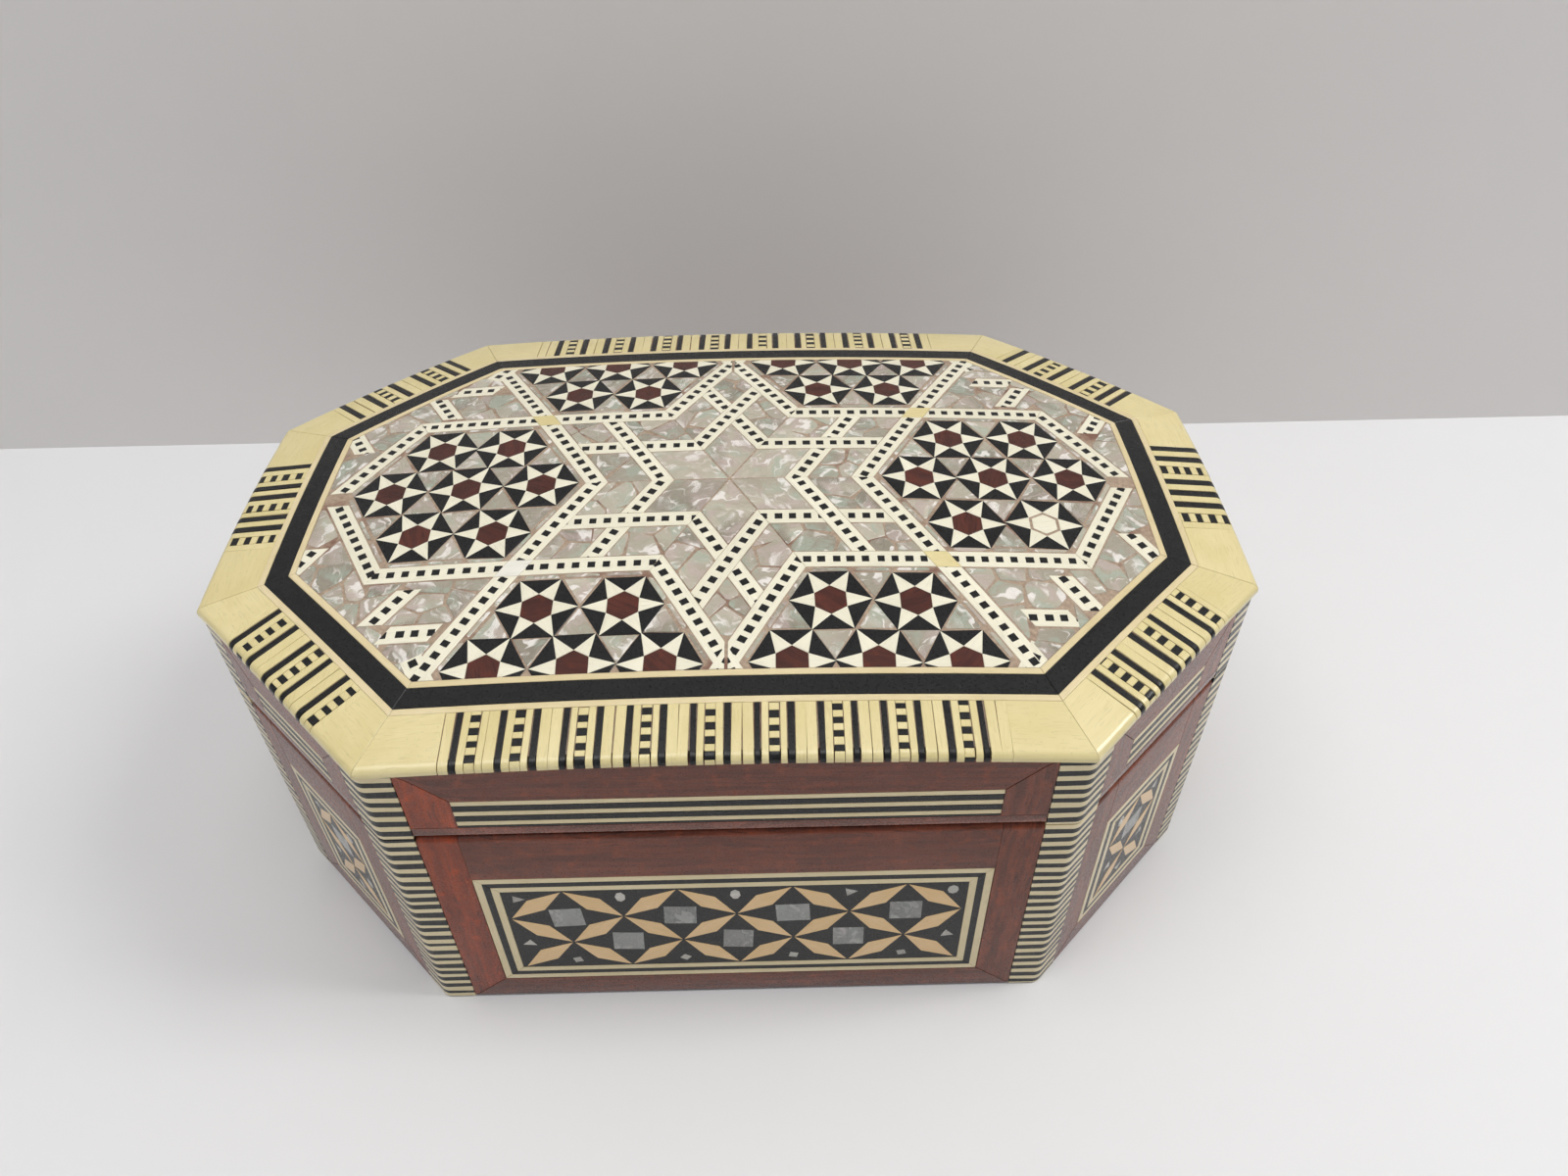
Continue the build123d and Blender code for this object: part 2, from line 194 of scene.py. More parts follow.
outline_half = high("border_plates")
carcase_inset = outline_half.x - high("base_board").x
overhang = outline_half.x - high("body_rails").x
corner_cut = outline_half.x - carcase_inset - high("body_wall_front").x + carcase_inset * (2 - math.sqrt(2))
foot_z = low("body_rails").z
body_rim = high("body_wall_front").z
lid_rim = low("lid_wall_front").z
lid_top = high("field_marquetry").z
border_inset = outline_half.x - high("outer_bone_line").x
band_inset = outline_half.x - high("black_band").x
inner_line_inset = outline_half.x - high("inner_bone_line").x
field_inset = outline_half.x - high("field_marquetry").x
field_half = high("field_marquetry")
top_inlay = lid_top - high("lid_board").z


def corners(inset):
    """Plan corners of the outline moved in by inset, anticlockwise from the front left one."""
    x = outline_half.x - inset
    y = outline_half.y - inset
    cut = corner_cut - inset * (2 - math.sqrt(2))
    right = [Vector((x - cut, -y)), Vector((x, -y + cut)), Vector((x, y - cut)), Vector((x - cut, y))]
    left = [Vector((-p.x, p.y)) for p in reversed(right)]
    return [left[-1], *right, *left[:-1]]


@functools.cache
def corner_at(face, inset):
    return corners(inset)[face % 8].freeze()


@functools.cache
def along(face):
    return (corner_at(face + 1, 0) - corner_at(face, 0)).normalized().freeze()


@functools.cache
def outward(face):
    direction = along(face)
    return Vector((direction.y, -direction.x)).freeze()


def face_length(face, inset):
    return (corner_at(face + 1, inset) - corner_at(face, inset)).length


def on_face(face, distance, inset):
    """Plan point at a distance along a face from its middle, moved in by inset."""
    middle = (corner_at(face, inset) + corner_at(face + 1, inset)) / 2
    return middle + along(face) * distance


def depth_inside(face, point):
    """How far a plan point lies inside one face's outline."""
    return (corner_at(face, 0) - point).dot(outward(face))


def face_matrix(face):
    """From flat coordinates on a face, along, up and out of the veneer's surface, to the box."""
    out, step, place = outward(face), along(face), on_face(face, 0, overhang)
    return Matrix(((step.x, 0, out.x, place.x), (step.y, 0, out.y, place.y), (0, 1, 0, 0), (0, 0, 0, 1)))


def crown_z(x, y, sink=0.0):
    """Height of the crowned top, an arc across the box swung along it, moved in by sink."""
    crown = sizes("crown")
    swing = crown.radius_along - crown.radius_across + math.sqrt((crown.radius_across - sink) ** 2 - y * y)
    return lid_top - crown.radius_along + math.sqrt(swing * swing - x * x)


def roll(distance, radius):
    """Drop of a rounded edge at a distance in from it."""
    if distance >= radius:
        return 0.0
    return radius - math.sqrt(max(0.0, radius**2 - (radius - max(distance, 0.0)) ** 2))


# ---------------------------------------------------------------- flat pieces

class Sheet:
    """Flat inlay pieces in one mesh. Each vertex keeps its piece's tone and the turn of its grain."""

    def __init__(self):
        self.bm = bmesh.new()
        for layer in ("tone", "turn"):
            self.bm.verts.layers.float.new(layer)
        self.bm.loops.layers.uv.new("grain")

    def layer(self, name):
        return self.bm.verts.layers.float[name]

    def piece(self, outline, kind=0, tone=0.5, turn=0.0, lift=0.0):
        """One flat piece from the few points of its outline, as a list of faces to cut further."""
        verts = [self.bm.verts.new((p[0], p[1], lift)) for p in outline]
        for vert in verts:
            vert[self.layer("tone")] = tone
            vert[self.layer("turn")] = turn
        face = self.bm.faces.new(verts)
        face.material_index = kind
        face.normal_update()
        if face.normal.z < 0:
            face.normal_flip()
        return [face]

    def cut(self, faces, point, direction, keep_left=False):
        """Cuts faces along a plan line; keep_left drops what lies to the right of it."""
        right = Vector((direction[1], -direction[0], 0)).normalized()
        edges = {edge for face in faces for edge in face.edges}
        verts = {vert for face in faces for vert in face.verts}
        result = bmesh.ops.bisect_plane(
            self.bm, geom=[*faces, *edges, *verts], dist=CLOSE, plane_co=(point[0], point[1], 0), plane_no=right,
            clear_outer=keep_left,
        )
        return [item for item in result["geom"] if isinstance(item, bmesh.types.BMFace) and item.is_valid]

    def trim(self, faces, lines):
        """Keeps the part of faces to the left of every line, each a point and a direction."""
        for point, direction in lines:
            if faces:
                faces = self.cut(faces, point, direction, keep_left=True)
        return faces

    def cut_all(self, point, normal):
        """Cuts every piece along a plane, so that it can bend there."""
        geom = self.bm.verts[:] + self.bm.edges[:] + self.bm.faces[:]
        bmesh.ops.bisect_plane(self.bm, geom=geom, dist=CLOSE, plane_co=point, plane_no=normal)

    def drop_slivers(self, area):
        """Removes pieces smaller than area."""
        small = [face for face in self.bm.faces if face.calc_area() < area]
        bmesh.ops.delete(self.bm, geom=small, context="FACES")

    def thicken(self, depth, edge):
        """Makes the flat pieces solid, with the upper edge softened over a width."""
        bm = self.bm
        bases = bm.faces[:]
        pulled = bmesh.ops.extrude_face_region(bm, geom=bases, use_keep_orig=True)["geom"]
        risen = {item for item in pulled if isinstance(item, bmesh.types.BMVert)}
        bmesh.ops.translate(bm, vec=(0, 0, -depth), verts=[vert for vert in bm.verts if vert not in risen])
        bmesh.ops.reverse_faces(bm, faces=bases)
        if edge:
            tops = [face for face in bm.faces if all(vert in risen for vert in face.verts)]
            walls = {vert for face in bm.faces if any(v not in risen for v in face.verts) for vert in face.verts}
            bmesh.ops.inset_region(bm, faces=tops, thickness=edge, use_boundary=True, use_even_offset=True)
            walls = {vert for face in bm.faces if any(v.is_valid and v in walls and v not in risen for v in face.verts)
                     for vert in face.verts}
            bases_set = {vert for face in bases for vert in face.verts}
            rim = [vert for vert in walls if vert not in bases_set]
            bmesh.ops.translate(bm, vec=(0, 0, -0.7 * edge), verts=rim)

    def map_grain(self):
        """UV in millimetres along each piece's own grain, shifted from piece to piece by its tone."""
        flow = self.bm.loops.layers.uv["grain"]
        tone, turn = self.layer("tone"), self.layer("turn")
        for face in self.bm.faces:
            for loop in face.loops:
                vert = loop.vert
                c, s = math.cos(vert[turn]), math.sin(vert[turn])
                u = vert.co.x * c + vert.co.y * s + 97 * vert[tone]
                v = vert.co.y * c - vert.co.x * s + 61 * vert[tone] - 0.7 * vert.co.z
                loop[flow].uv = (u, v)

    def follow_crown(self):
        """Cuts the pieces so that none bridges the curve of the crown."""
        crown = sizes("crown")
        for row in range(-8, 9):
            self.cut_all((0, (row + 0.02) * crown.step_across, 0), (0, 1, 0))
            self.cut_all(((row + 0.01) * crown.step_along, 0, 0), (1, 0, 0))

    def follow_edge(self):
        """Cuts the pieces beside the outline where the edge rolls over."""
        radius = sizes("crown").edge_round
        for face in FACES:
            out = outward(face)
            for share in (0.06, 0.2, 0.42, 0.7, 1.0):
                point = on_face(face, 0, radius * share)
                self.cut_all((point.x, point.y, 0), (out.x, out.y, 0))

    def raise_to_crown(self, thickness):
        """Raises the flat pieces to the crowned top and rolls their outer edge over."""
        radius = sizes("crown").edge_round
        for vert in self.bm.verts:
            x, y, z = vert.co
            edge = min(depth_inside(face, Vector((x, y))) for face in FACES)
            drop = roll(edge, radius) * 0.8 if z > -0.6 * thickness else 0.0
            vert.co.z = crown_z(x, y) + z - drop

    def pour_into(self, other, matrix=None):
        """Moves this sheet's pieces into another one."""
        if matrix is not None:
            bmesh.ops.transform(self.bm, matrix=matrix, verts=self.bm.verts[:])
        mesh = bpy.data.meshes.new("pour")
        self.bm.to_mesh(mesh)
        other.bm.from_mesh(mesh)
        bpy.data.meshes.remove(mesh)
        self.bm.free()

    def finish(self, name, materials, body, slot, *replaces):
        return make_piece(self.bm, name, materials, body, slot, *replaces)


def make_piece(bm, name, materials, body, slot, *replaces):
    """Mesh object at the origin from a bmesh in millimetres, riding on a body for its CAD nodes."""
    bmesh.ops.scale(bm, vec=(MM, MM, MM), verts=bm.verts[:])
    name = "laid_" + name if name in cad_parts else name
    mesh = bpy.data.meshes.new(name)
    bm.to_mesh(mesh)
    bm.free()
    for material in materials:
        mesh.materials.append(finish_named(material))
    mesh.shade_smooth()
    mesh.set_sharp_from_angle(angle=CONTOUR)
    piece = bpy.data.objects.new(name, mesh)
    bpy.context.scene.collection.objects.link(piece)
    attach(piece, body)
    if replaces:
        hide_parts(*replaces)
    return piece


def box_outline(left, right, bottom, top):
    return [(left, bottom), (right, bottom), (right, top), (left, top)]


def swung(angle, radius_x, radius_y=None):
    """Point on an ellipse at an angle in degrees."""
    radius_y = radius_x if radius_y is None else radius_y
    return Vector((radius_x * math.cos(math.radians(angle)), radius_y * math.sin(math.radians(angle))))


def keeping(inside, point, direction, gap=0.0):
    """A line to trim to, turned to keep the side where inside lies, and moved to that side by a gap."""
    direction = direction.normalized()
    if direction.cross(inside - point) < 0:
        direction = -direction
    return point + Vector((-direction.y, direction.x)) * gap, direction


def sides_of(outline, gaps):
    """The sides of a convex outline as lines to trim to, each drawn in by its gap."""
    middle = sum(outline, Vector((0, 0))) / len(outline)
    return [keeping(middle, a, b - a, gap) for a, b, gap in zip(outline, outline[1:] + outline[:1], gaps)]


# ---------------------------------------------------------------- the lid's top

def ring_side(face, outer, inner):
    """Plan outline of one side of a mitred octagonal ring."""
    return [corner_at(face, outer), corner_at(face + 1, outer), corner_at(face + 1, inner), corner_at(face, inner)]


def face_turn(face):
    step = along(face)
    return math.atan2(step.y, step.x)


def crown_piece(sheet, depth, name, materials, slot, *replaces):
    """Finishes a flat sheet of the lid's top: cut, softened, raised to the crown."""
    sheet.follow_crown()
    sheet.thicken(depth, sizes("crown").piece_edge)
    sheet.map_grain()
    sheet.raise_to_crown(depth)
    return sheet.finish(name, materials, "lid", slot, *replaces)


class BOX_OT_lid_lines(bpy.types.Operator):
    """Two bone lines and the black band between them, mitred round the field"""
    bl_idname = "trinket_box.lid_lines"
    bl_label = "Lid band and bone lines"

    def execute(self, context):
        rng = random.Random(11)
        rings = (
            ("outer_bone_line", border_inset, band_inset, "line bone", "bone"),
            ("black_band", band_inset, inner_line_inset, "black", "black_inlay"),
            ("inner_bone_line", inner_line_inset, field_inset, "line bone", "bone"),
        )
        for node, outer, inner, material, slot in rings:
            sheet = Sheet()
            for face in FACES:
                side = sheet.piece(ring_side(face, outer + 0.03, inner - 0.03), 0, rng.random(), face_turn(face))
                sheet.trim(side, [keeping(on_face(face, 0, outer), corner_at(end, 0),
                                          corner_at(end, 30) - corner_at(end, 0), 0.035)
                                  for end in (face, face + 1)])
            crown_piece(sheet, top_inlay, node, [material], slot, node)
        return {"FINISHED"}


def border_turn(face):
    """Matrix from along-and-inwards coordinates of one side of the border to the plan."""
    step, out, start = along(face), outward(face), on_face(face, 0, 0)
    return Matrix(((step.x, -out.x, 0, start.x), (step.y, -out.y, 0, start.y), (0, 0, 1, 0), (0, 0, 0, 1)))


def plate_length(face):
    border = sizes("border")
    if face % 2:
        return border.diagonal_plate_length
    return border.end_plate_length if face in (LEFT, RIGHT) else border.plate_length


class BOX_OT_border_plates(bpy.types.Operator):
    """Two plain yellowed plates on each side, mitred at the corners"""
    bl_idname = "trinket_box.border_plates"
    bl_label = "Border plates"

    def execute(self, context):
        rng = random.Random(23)
        sheet = Sheet()
        for face in FACES:
            half = face_length(face, 0) / 2
            for side in (-1, 1):
                end, corner = (half - plate_length(face)) * side, half * side
                left, right = sorted((end, corner))
                flat = [on_face(face, left, 0), on_face(face, right, 0),
                        on_face(face, right, border_inset), on_face(face, left, border_inset)]
                plate = sheet.piece(flat, 0, rng.random(), face_turn(face) + rng.uniform(-0.06, 0.06),
                                    rng.uniform(-0.03, 0.0))
                outer = corner_at(face if side < 0 else face + 1, 0)
                inner = corner_at(face if side < 0 else face + 1, border_inset)
                sheet.trim(plate, [keeping(on_face(face, 0, 0), outer, inner - outer, 0.03)])
        sheet.follow_edge()
        crown_piece(sheet, top_inlay, "border_plates", ["border bone"], "border_bone", "border_plates")
        return {"FINISHED"}


BONE, DARK = 0, 1


def border_bars(face):
    """The bars of one side's run in order: kind of bar and its width."""
    border = sizes("border")
    black, bone = ("black", border.black_line), ("bone", border.bone_line)
    dash, wide = ("dash", border.dash_column), ("bone", border.wide_bone)
    unit = [black, bone, dash, bone, black, wide, wide]
    if face == FRONT:
        return [wide, black, bone, dash, bone, wide] + unit * 8
    if face == BACK:
        return [wide] + unit * 8
    if face == LEFT:
        return [black, bone, dash, bone, black, bone, black, bone, dash, bone, black, bone, black, bone, dash, bone]
    if face == RIGHT:
        return [bone, dash, bone, black, bone, black, bone, black, bone, dash, bone, black, bone, black]
    return ([bone] + unit * 2 + [black, bone, dash, bone] if face in (FRONT_LEFT, FRONT_RIGHT)
            else [black, bone, *unit * 2, black, bone])


def lay_border_run(sheet, face, rng):
    """Fills the run between two plates with bars, stretched to fit, in along-and-inwards coordinates."""
    border = sizes("border")
    run = face_length(face, 0) - 2 * plate_length(face)
    bars = border_bars(face)
    fit = run / sum(width for kind, width in bars)
    place = -run / 2
    width_in = border_inset
    for kind, width in bars:
        width *= fit
        left, right = place + border.bar_gap / 2, place + width - border.bar_gap / 2
        place += width
        skew = rng.uniform(-0.12, 0.12)
        lift = rng.uniform(-0.05, 0.0)
        tone = rng.random()
        if kind != "dash":
            left, right = left + rng.uniform(-0.05, 0.1), right - rng.uniform(-0.05, 0.1)
            outline = [(left - skew / 2, 0), (right - skew / 2, 0), (right + skew / 2, width_in),
                       (left + skew / 2, width_in)]
            sheet.piece(outline, DARK if kind == "black" else BONE, tone, math.pi / 2, lift)
            continue
        step = border.dash_pitch * rng.uniform(0.94, 1.06)
        edge = -step * rng.random()
        dark = rng.random() < 0.5
        while edge < width_in:
            length = step / 2 * rng.uniform(0.85, 1.15)
            start, stop = max(edge, 0), min(edge + length - 0.04, width_in)
            if stop - start > 0.12:
                sheet.piece(box_outline(left, right, start, stop), DARK if dark else BONE, rng.random(),
                            math.pi / 2, lift)
            edge += length
            dark = not dark


class BOX_OT_border_blocks(bpy.types.Operator):
    """Cross bars of bone, black and dashes between the border's plates, on a bed of filler"""
    bl_idname = "trinket_box.border_blocks"
    bl_label = "Border cross blocks"

    def execute(self, context):
        rng = random.Random(41)
        sheet = Sheet()
        for face in FACES:
            run = Sheet()
            lay_border_run(run, face, rng)
            run.pour_into(sheet, border_turn(face))
        sheet.follow_edge()
        crown_piece(sheet, top_inlay, "border_cross_blocks", ["border bone", "black"], "border_bone",
                    "border_cross_blocks")
        bed = Sheet()
        for face in FACES:
            bed.piece(ring_side(face, 1.5, border_inset))
        bed.follow_crown()
        bed.thicken(top_inlay - 0.22, 0)
        bed.map_grain()
        for vert in bed.bm.verts:
            vert.co.z += crown_z(vert.co.x, vert.co.y) - 0.2
        bed.finish("border_bed", ["glue"], "lid", "border_bone", "border_cross_blocks")
        return {"FINISHED"}


def lattice(u, v):
    """Plan point of the strapwork's lattice, whose unit is a hexagon's circumradius."""
    field = sizes("field")
    return Vector((u * field.hexagon_x, v * field.hexagon_y))


def turned(point, steps):
    """A lattice point turned by sixths of a turn about the middle."""
    angle = math.radians(60 * steps)
    return (point[0] * math.cos(angle) - point[1] * math.sin(angle),
            point[0] * math.sin(angle) + point[1] * math.cos(angle))


ROOT3 = math.sqrt(3)
HEXAGONS = [(2, 0), (-2, 0), (1, ROOT3), (-1, ROOT3), (1, -ROOT3), (-1, -ROOT3)]


def hexagon_corner(centre, step):
    """Lattice corner of a strap hexagon, numbered anticlockwise from its right end."""
    angle = math.radians(60 * step)
    return centre[0] + math.cos(angle), centre[1] + math.sin(angle)


def touches(point):
    """Whether two strap hexagons meet at a lattice point."""
    return abs(abs(point[0]) - 1.5) < 0.01 and abs(abs(point[1]) - ROOT3 / 2) < 0.01


def field_lines():
    """The field's eight sides as lines to trim to, drawn in by a joint."""
    return sides_of(corners(field_inset), [0.06] * 8)


def lay_strap(sheet, start, end, lines, rng, lift=0.0):
    """A dashed strap along a plan line, trimmed at its ends, its core cut into bone and black squares."""
    field = sizes("field")
    step = (end - start).normalized()
    side = Vector((-step.y, step.x))
    half = (field.strap_width - field.joint) / 2
    a, b = start - step * field.strap_width, end + step * field.strap_width
    strip = Sheet()
    faces = strip.piece([a - side * half, b - side * half, b + side * half, a + side * half], BONE, rng.random(),
                        math.atan2(step.y, step.x), lift + rng.uniform(-0.03, 0.01))
    faces = strip.trim(faces, [*lines, *field_lines()])
    core = field.square / 2 * rng.uniform(0.96, 1.04)
    for offset in (-core, core):
        faces = strip.cut(faces, a + side * offset, step)
    pitch = field.square_pitch * rng.uniform(0.97, 1.03)
    begin = rng.uniform(0.0, pitch)
    marks = []
    while begin < (b - a).length:
        left = begin + rng.uniform(-0.08, 0.08)
        marks.append((left, left + field.square * rng.uniform(0.86, 1.06)))
        begin += pitch
    middle = [face for face in strip.bm.faces if abs((face.calc_center_median().xy - a).dot(side)) < core * 0.9]
    for mark in marks:
        for at in mark:
            middle = strip.cut(middle, a + step * at, side)
    for face in middle:
        at = (face.calc_center_median().xy - a).dot(step)
        if any(left < at < right for left, right in marks):
            face.material_index = DARK
    strip.pour_into(sheet)


def lay_hexagon_straps(sheet, centre, rng):
    """The six straps of a hexagon: mitred at free corners, cut by the crossing one where hexagons touch."""
    half = sizes("field").strap_width / 2
    middle = lattice(*centre)
    for step in range(6):
        ends = [hexagon_corner(centre, step), hexagon_corner(centre, step + 1)]
        start, end = lattice(*ends[0]), lattice(*ends[1])
        inside = (start + end) / 2
        lines = []
        for corner, beyond in ((ends[0], hexagon_corner(centre, step - 1)),
                               (ends[1], hexagon_corner(centre, step + 2))):
            at = lattice(*corner)
            if touches(corner):
                lines.append(keeping(inside, at, lattice(*beyond) - at, half))
            elif abs(corner[0]) > 2.9:
                lines.append(keeping(inside, at, Vector((1, 0)), rng.uniform(1.0, 2.2)))
            elif abs(corner[1]) < 1.7:
                lines.append(keeping(inside, at, at - middle, 0.03))
            elif abs(corner[0]) < 0.1:
                lines.append(keeping(inside, at, Vector((0, 1)), 0.25))
        lay_strap(sheet, start, end, lines, rng)


def lay_star_straps(sheet, step, rng):
    """The two straps that leave one inner corner of the star: one runs over its neighbour, one under."""
    half = sizes("field").strap_width / 2
    root, crossing = lattice(*turned((0.5, 0), step)), lattice(*turned((0.75, ROOT3 / 4), step))
    over, under = lattice(*turned((1, -ROOT3 / 2), step)), lattice(*turned((1, ROOT3 / 2), step))
    across = lattice(*turned((1, 0), step))
    for start, end, first, last in (
        (root, over, (root, root, 0.03), (over, across, half)),
        (root, crossing, (root, root, 0.03), (crossing, across, half)),
        (crossing, under, (crossing, across, half), (under, across, half)),
    ):
        inside = (start + end) / 2
        lay_strap(sheet, start, end, [keeping(inside, *first), keeping(inside, *last)], rng, lift=0.01)


# Strap ends left over at the four corners: place in lattice units, direction, length, direction of
# the cut ends, and the hexagon side that one runs against, as two lattice points.
OVER_A, OVER_B, BESIDE = ((2.5, 0.866), (1.5, 0.866)), ((1.5, 0.866), (2.0, 1.732)), ((3.0, 0.0), (2.5, 0.866))
LEFTOVERS = [
    ((2.20, 1.38), 0, 7.2, 60, OVER_B), ((2.34, 1.14), 60, 8.4, 0, OVER_A), ((2.95, 0.79), 60, 9.0, 0, BESIDE),
    ((-2.17, 1.41), 0, 8.0, 60, OVER_B), ((-2.39, 1.14), 120, 9.0, 0, OVER_A), ((-3.02, 0.74), 120, 9.6, 0, BESIDE),
    ((-2.13, -1.40), 0, 8.0, 60, OVER_B), ((-2.31, -1.16), 55, 8.4, 0, OVER_A), ((-3.05, -0.67), 60, 6.6, 0, BESIDE),
    ((2.18, -1.38), 0, 7.4, 120, OVER_B), ((2.40, -1.16), 120, 8.2, 0, OVER_A), ((2.99, -0.74), 120, 8.8, 0, BESIDE),
]


def leftover_outline(leftover):
    """Corners of the straight stretch of a left-over strap end, for the pearl to keep clear of."""
    (u, v), angle, length = leftover[:3]
    step = swung(angle, 1)
    side = Vector((-step.y, step.x)) * sizes("field").strap_width / 2
    place = lattice(u, v)
    return [place - step * length / 2 - side, place + step * length / 2 - side,
            place + step * length / 2 + side, place - step * length / 2 + side]


def lay_leftover(sheet, leftover, rng):
    (u, v), angle, length, end_angle, beside = leftover
    place, step = lattice(u, v), swung(angle, 1)
    flip = Vector((math.copysign(1, u), math.copysign(1, v)))
    low_end, high_end = (lattice(*point) * flip for point in beside)
    start, end = place - step * length / 2, place + step * length / 2
    ends = swung(end_angle, 1)
    lines = [keeping(place, start, ends), keeping(place, end, ends),
             keeping(place, low_end, high_end - low_end, sizes("field").strap_width / 2 + 0.05)]
    lay_strap(sheet, start, end, lines, rng)


class BOX_OT_straps(bpy.types.Operator):
    """Dashed straps of the hexagons and the star, with plain lozenges where hexagons touch"""
    bl_idname = "trinket_box.straps"
    bl_label = "Strapwork"

    def execute(self, context):
        rng = random.Random(sizes("field").seed)
        sheet = Sheet()
        for centre in HEXAGONS:
            lay_hexagon_straps(sheet, centre, rng)
        for step in range(6):
            lay_star_straps(sheet, step, rng)
        for leftover in LEFTOVERS:
            lay_leftover(sheet, leftover, rng)
        half = sizes("field").strap_width / 2 - 0.06
        for u, v in ((1.5, 0.866), (-1.5, 0.866), (-1.5, -0.866), (1.5, -0.866)):
            at = lattice(u, v)
            slant = lattice(0.5, math.copysign(ROOT3 / 2, u * v))
            whole = sheet.piece([at + swung(90 * turn + 45, 6) for turn in range(4)], 2 if u * v > 0 and u < 0 else 3,
                                rng.random(), 0.1)
            lines = [keeping(at, at + Vector((0, side * half)), Vector((1, 0))) for side in (-1, 1)]
            across = Vector((slant.y, -slant.x)).normalized() * half
            lines += [keeping(at, at + across * side, slant) for side in (-1, 1)]
            sheet.trim(whole, lines)
        crown_piece(sheet, top_inlay - 0.1, "field_straps", ["strap bone", "black", "white bone", "border bone"],
                    "bone",
                    "field_marquetry")
        return {"FINISHED"}


def hexagon_lines(centre, gap):
    """Inner outline of a strap hexagon as lines to trim to."""
    outline = [lattice(*hexagon_corner(centre, step)) for step in range(6)]
    return sides_of(outline, [sizes("field").strap_width / 2 + gap] * 6)


def rosette_place(centre, column, row):
    field = sizes("field")
    shift = Vector(((column + row / 2) * field.rosette_pitch_x, row * field.rosette_pitch_y))
    return lattice(*centre) + shift


def holds_rosette(column, row):
    return max(abs(column), abs(row), abs(column + row)) <= 1


CORE = 2


def lay_rosette(sheet, place, lines, rng, core):
    """A six-pointed bone star on black round a wood core."""
    field = sizes("field")
    turn = rng.uniform(-3, 3)
    place = place + Vector((rng.uniform(-0.28, 0.28), rng.uniform(-0.28, 0.28)))
    tall = field.rosette_pitch_y / field.rosette_pitch_x / (ROOT3 / 2)
    tips = [swung(60 * k + turn, field.rosette_radius, field.rosette_radius * tall) for k in range(6)]
    roots = [swung(60 * k + 30 + turn + rng.uniform(-2, 2), field.core_radius, field.core_radius * tall)
             for k in range(6)]
    lift = rng.uniform(-0.04, 0.02)
    rosette = Sheet()
    rosette.piece([place + root * (0.8 if core == BONE else 0.98) for root in roots], core, rng.random(),
                  rng.uniform(0, 3), lift)
    for k in range(6):
        rosette.piece([place + roots[k - 1], place + tips[k], place + roots[k]], BONE, rng.random(),
                      math.radians(60 * k), lift)
        outline = [place + roots[k], place + tips[k], place + tips[(k + 1) % 6]]
        rosette.piece(outline, DARK, rng.random(), math.radians(60 * k), lift)
    rosette.trim(rosette.bm.faces[:], lines)
    rosette.drop_slivers(0.12)
    rosette.pour_into(sheet)


class BOX_OT_rosettes(bpy.types.Operator):
    """Bone and black stars with wood cores inside the strap hexagons"""
    bl_idname = "trinket_box.rosettes"
    bl_label = "Rosettes"

    def execute(self, context):
        rng = random.Random(sizes("field").seed + 1)
        sheet = Sheet()
        for centre in HEXAGONS:
            lines = hexagon_lines(centre, 0.05) + field_lines()
            for row in (-1, 0, 1):
                for column in (-1, 0, 1):
                    if not holds_rosette(column, row):
                        continue
                    place = rosette_place(centre, column, row)
                    if abs(place.y) < field_half.y + field_rosette_reach():
                        bare = centre == (2, 0) and (column, row) == (1, -1)
                        lay_rosette(sheet, place, lines, rng, BONE if bare else CORE)
        crown_piece(sheet, top_inlay - 0.1, "field_rosettes", ["strap bone", "black", "core wood"], "marquetry",
                    "field_marquetry")
        return {"FINISHED"}


def field_rosette_reach():
    return sizes("field").rosette_radius * 0.7


def lay_hexagon_pearl(sheet, centre, rng):
    """Pearl triangles between the rosettes of a hexagon and along its straps."""
    lines = hexagon_lines(centre, 0.12) + field_lines()
    for row in range(-3, 4):
        for column in range(-3, 4):
            here = rosette_place(centre, column, row)
            near = [rosette_place(centre, column + c, row + r) for c,
                    r in ((1, 0), (0, 1), (-1, 1), (-1, 0), (0, -1), (1, -1))]
            middles = [(here + other) / 2 for other in near]
            pieces = [[middles[0], middles[1], (near[0] + near[1]) / 2],
                      [middles[1], middles[2], (near[1] + near[2]) / 2]]
            if not holds_rosette(column, row):
                pieces += [[here, middles[k], middles[(k + 1) % 6]] for k in range(6)]
            for outline in pieces:
                lay_pearl(sheet, outline, [rng.uniform(0.1, 0.34) for _ in outline], lines, rng)


def lay_pearl(sheet, outline, gaps, lines, rng, round_off=0.0):
    """One pearl piece: an outline drawn in by gaps, trimmed, with its sharpest corners nibbled off."""
    chip = Sheet()
    faces = chip.piece(outline, 0, rng.random(), rng.uniform(0, math.pi), rng.uniform(-0.07, 0.0))
    faces = chip.trim(faces, sides_of(outline, gaps) + lines)
    chip.drop_slivers(0.5)
    if chip.bm.faces:
        offset = round_off or rng.choice((0.12, 0.2, 0.45))
        bmesh.ops.bevel(chip.bm, geom=chip.bm.verts[:], offset=offset, segments=3 if round_off else 1, profile=0.5,
                        affect="VERTICES", material=-1, clamp_overlap=True)
        chip.pour_into(sheet)
    else:
        chip.bm.free()


PLACING_TRIES = 400


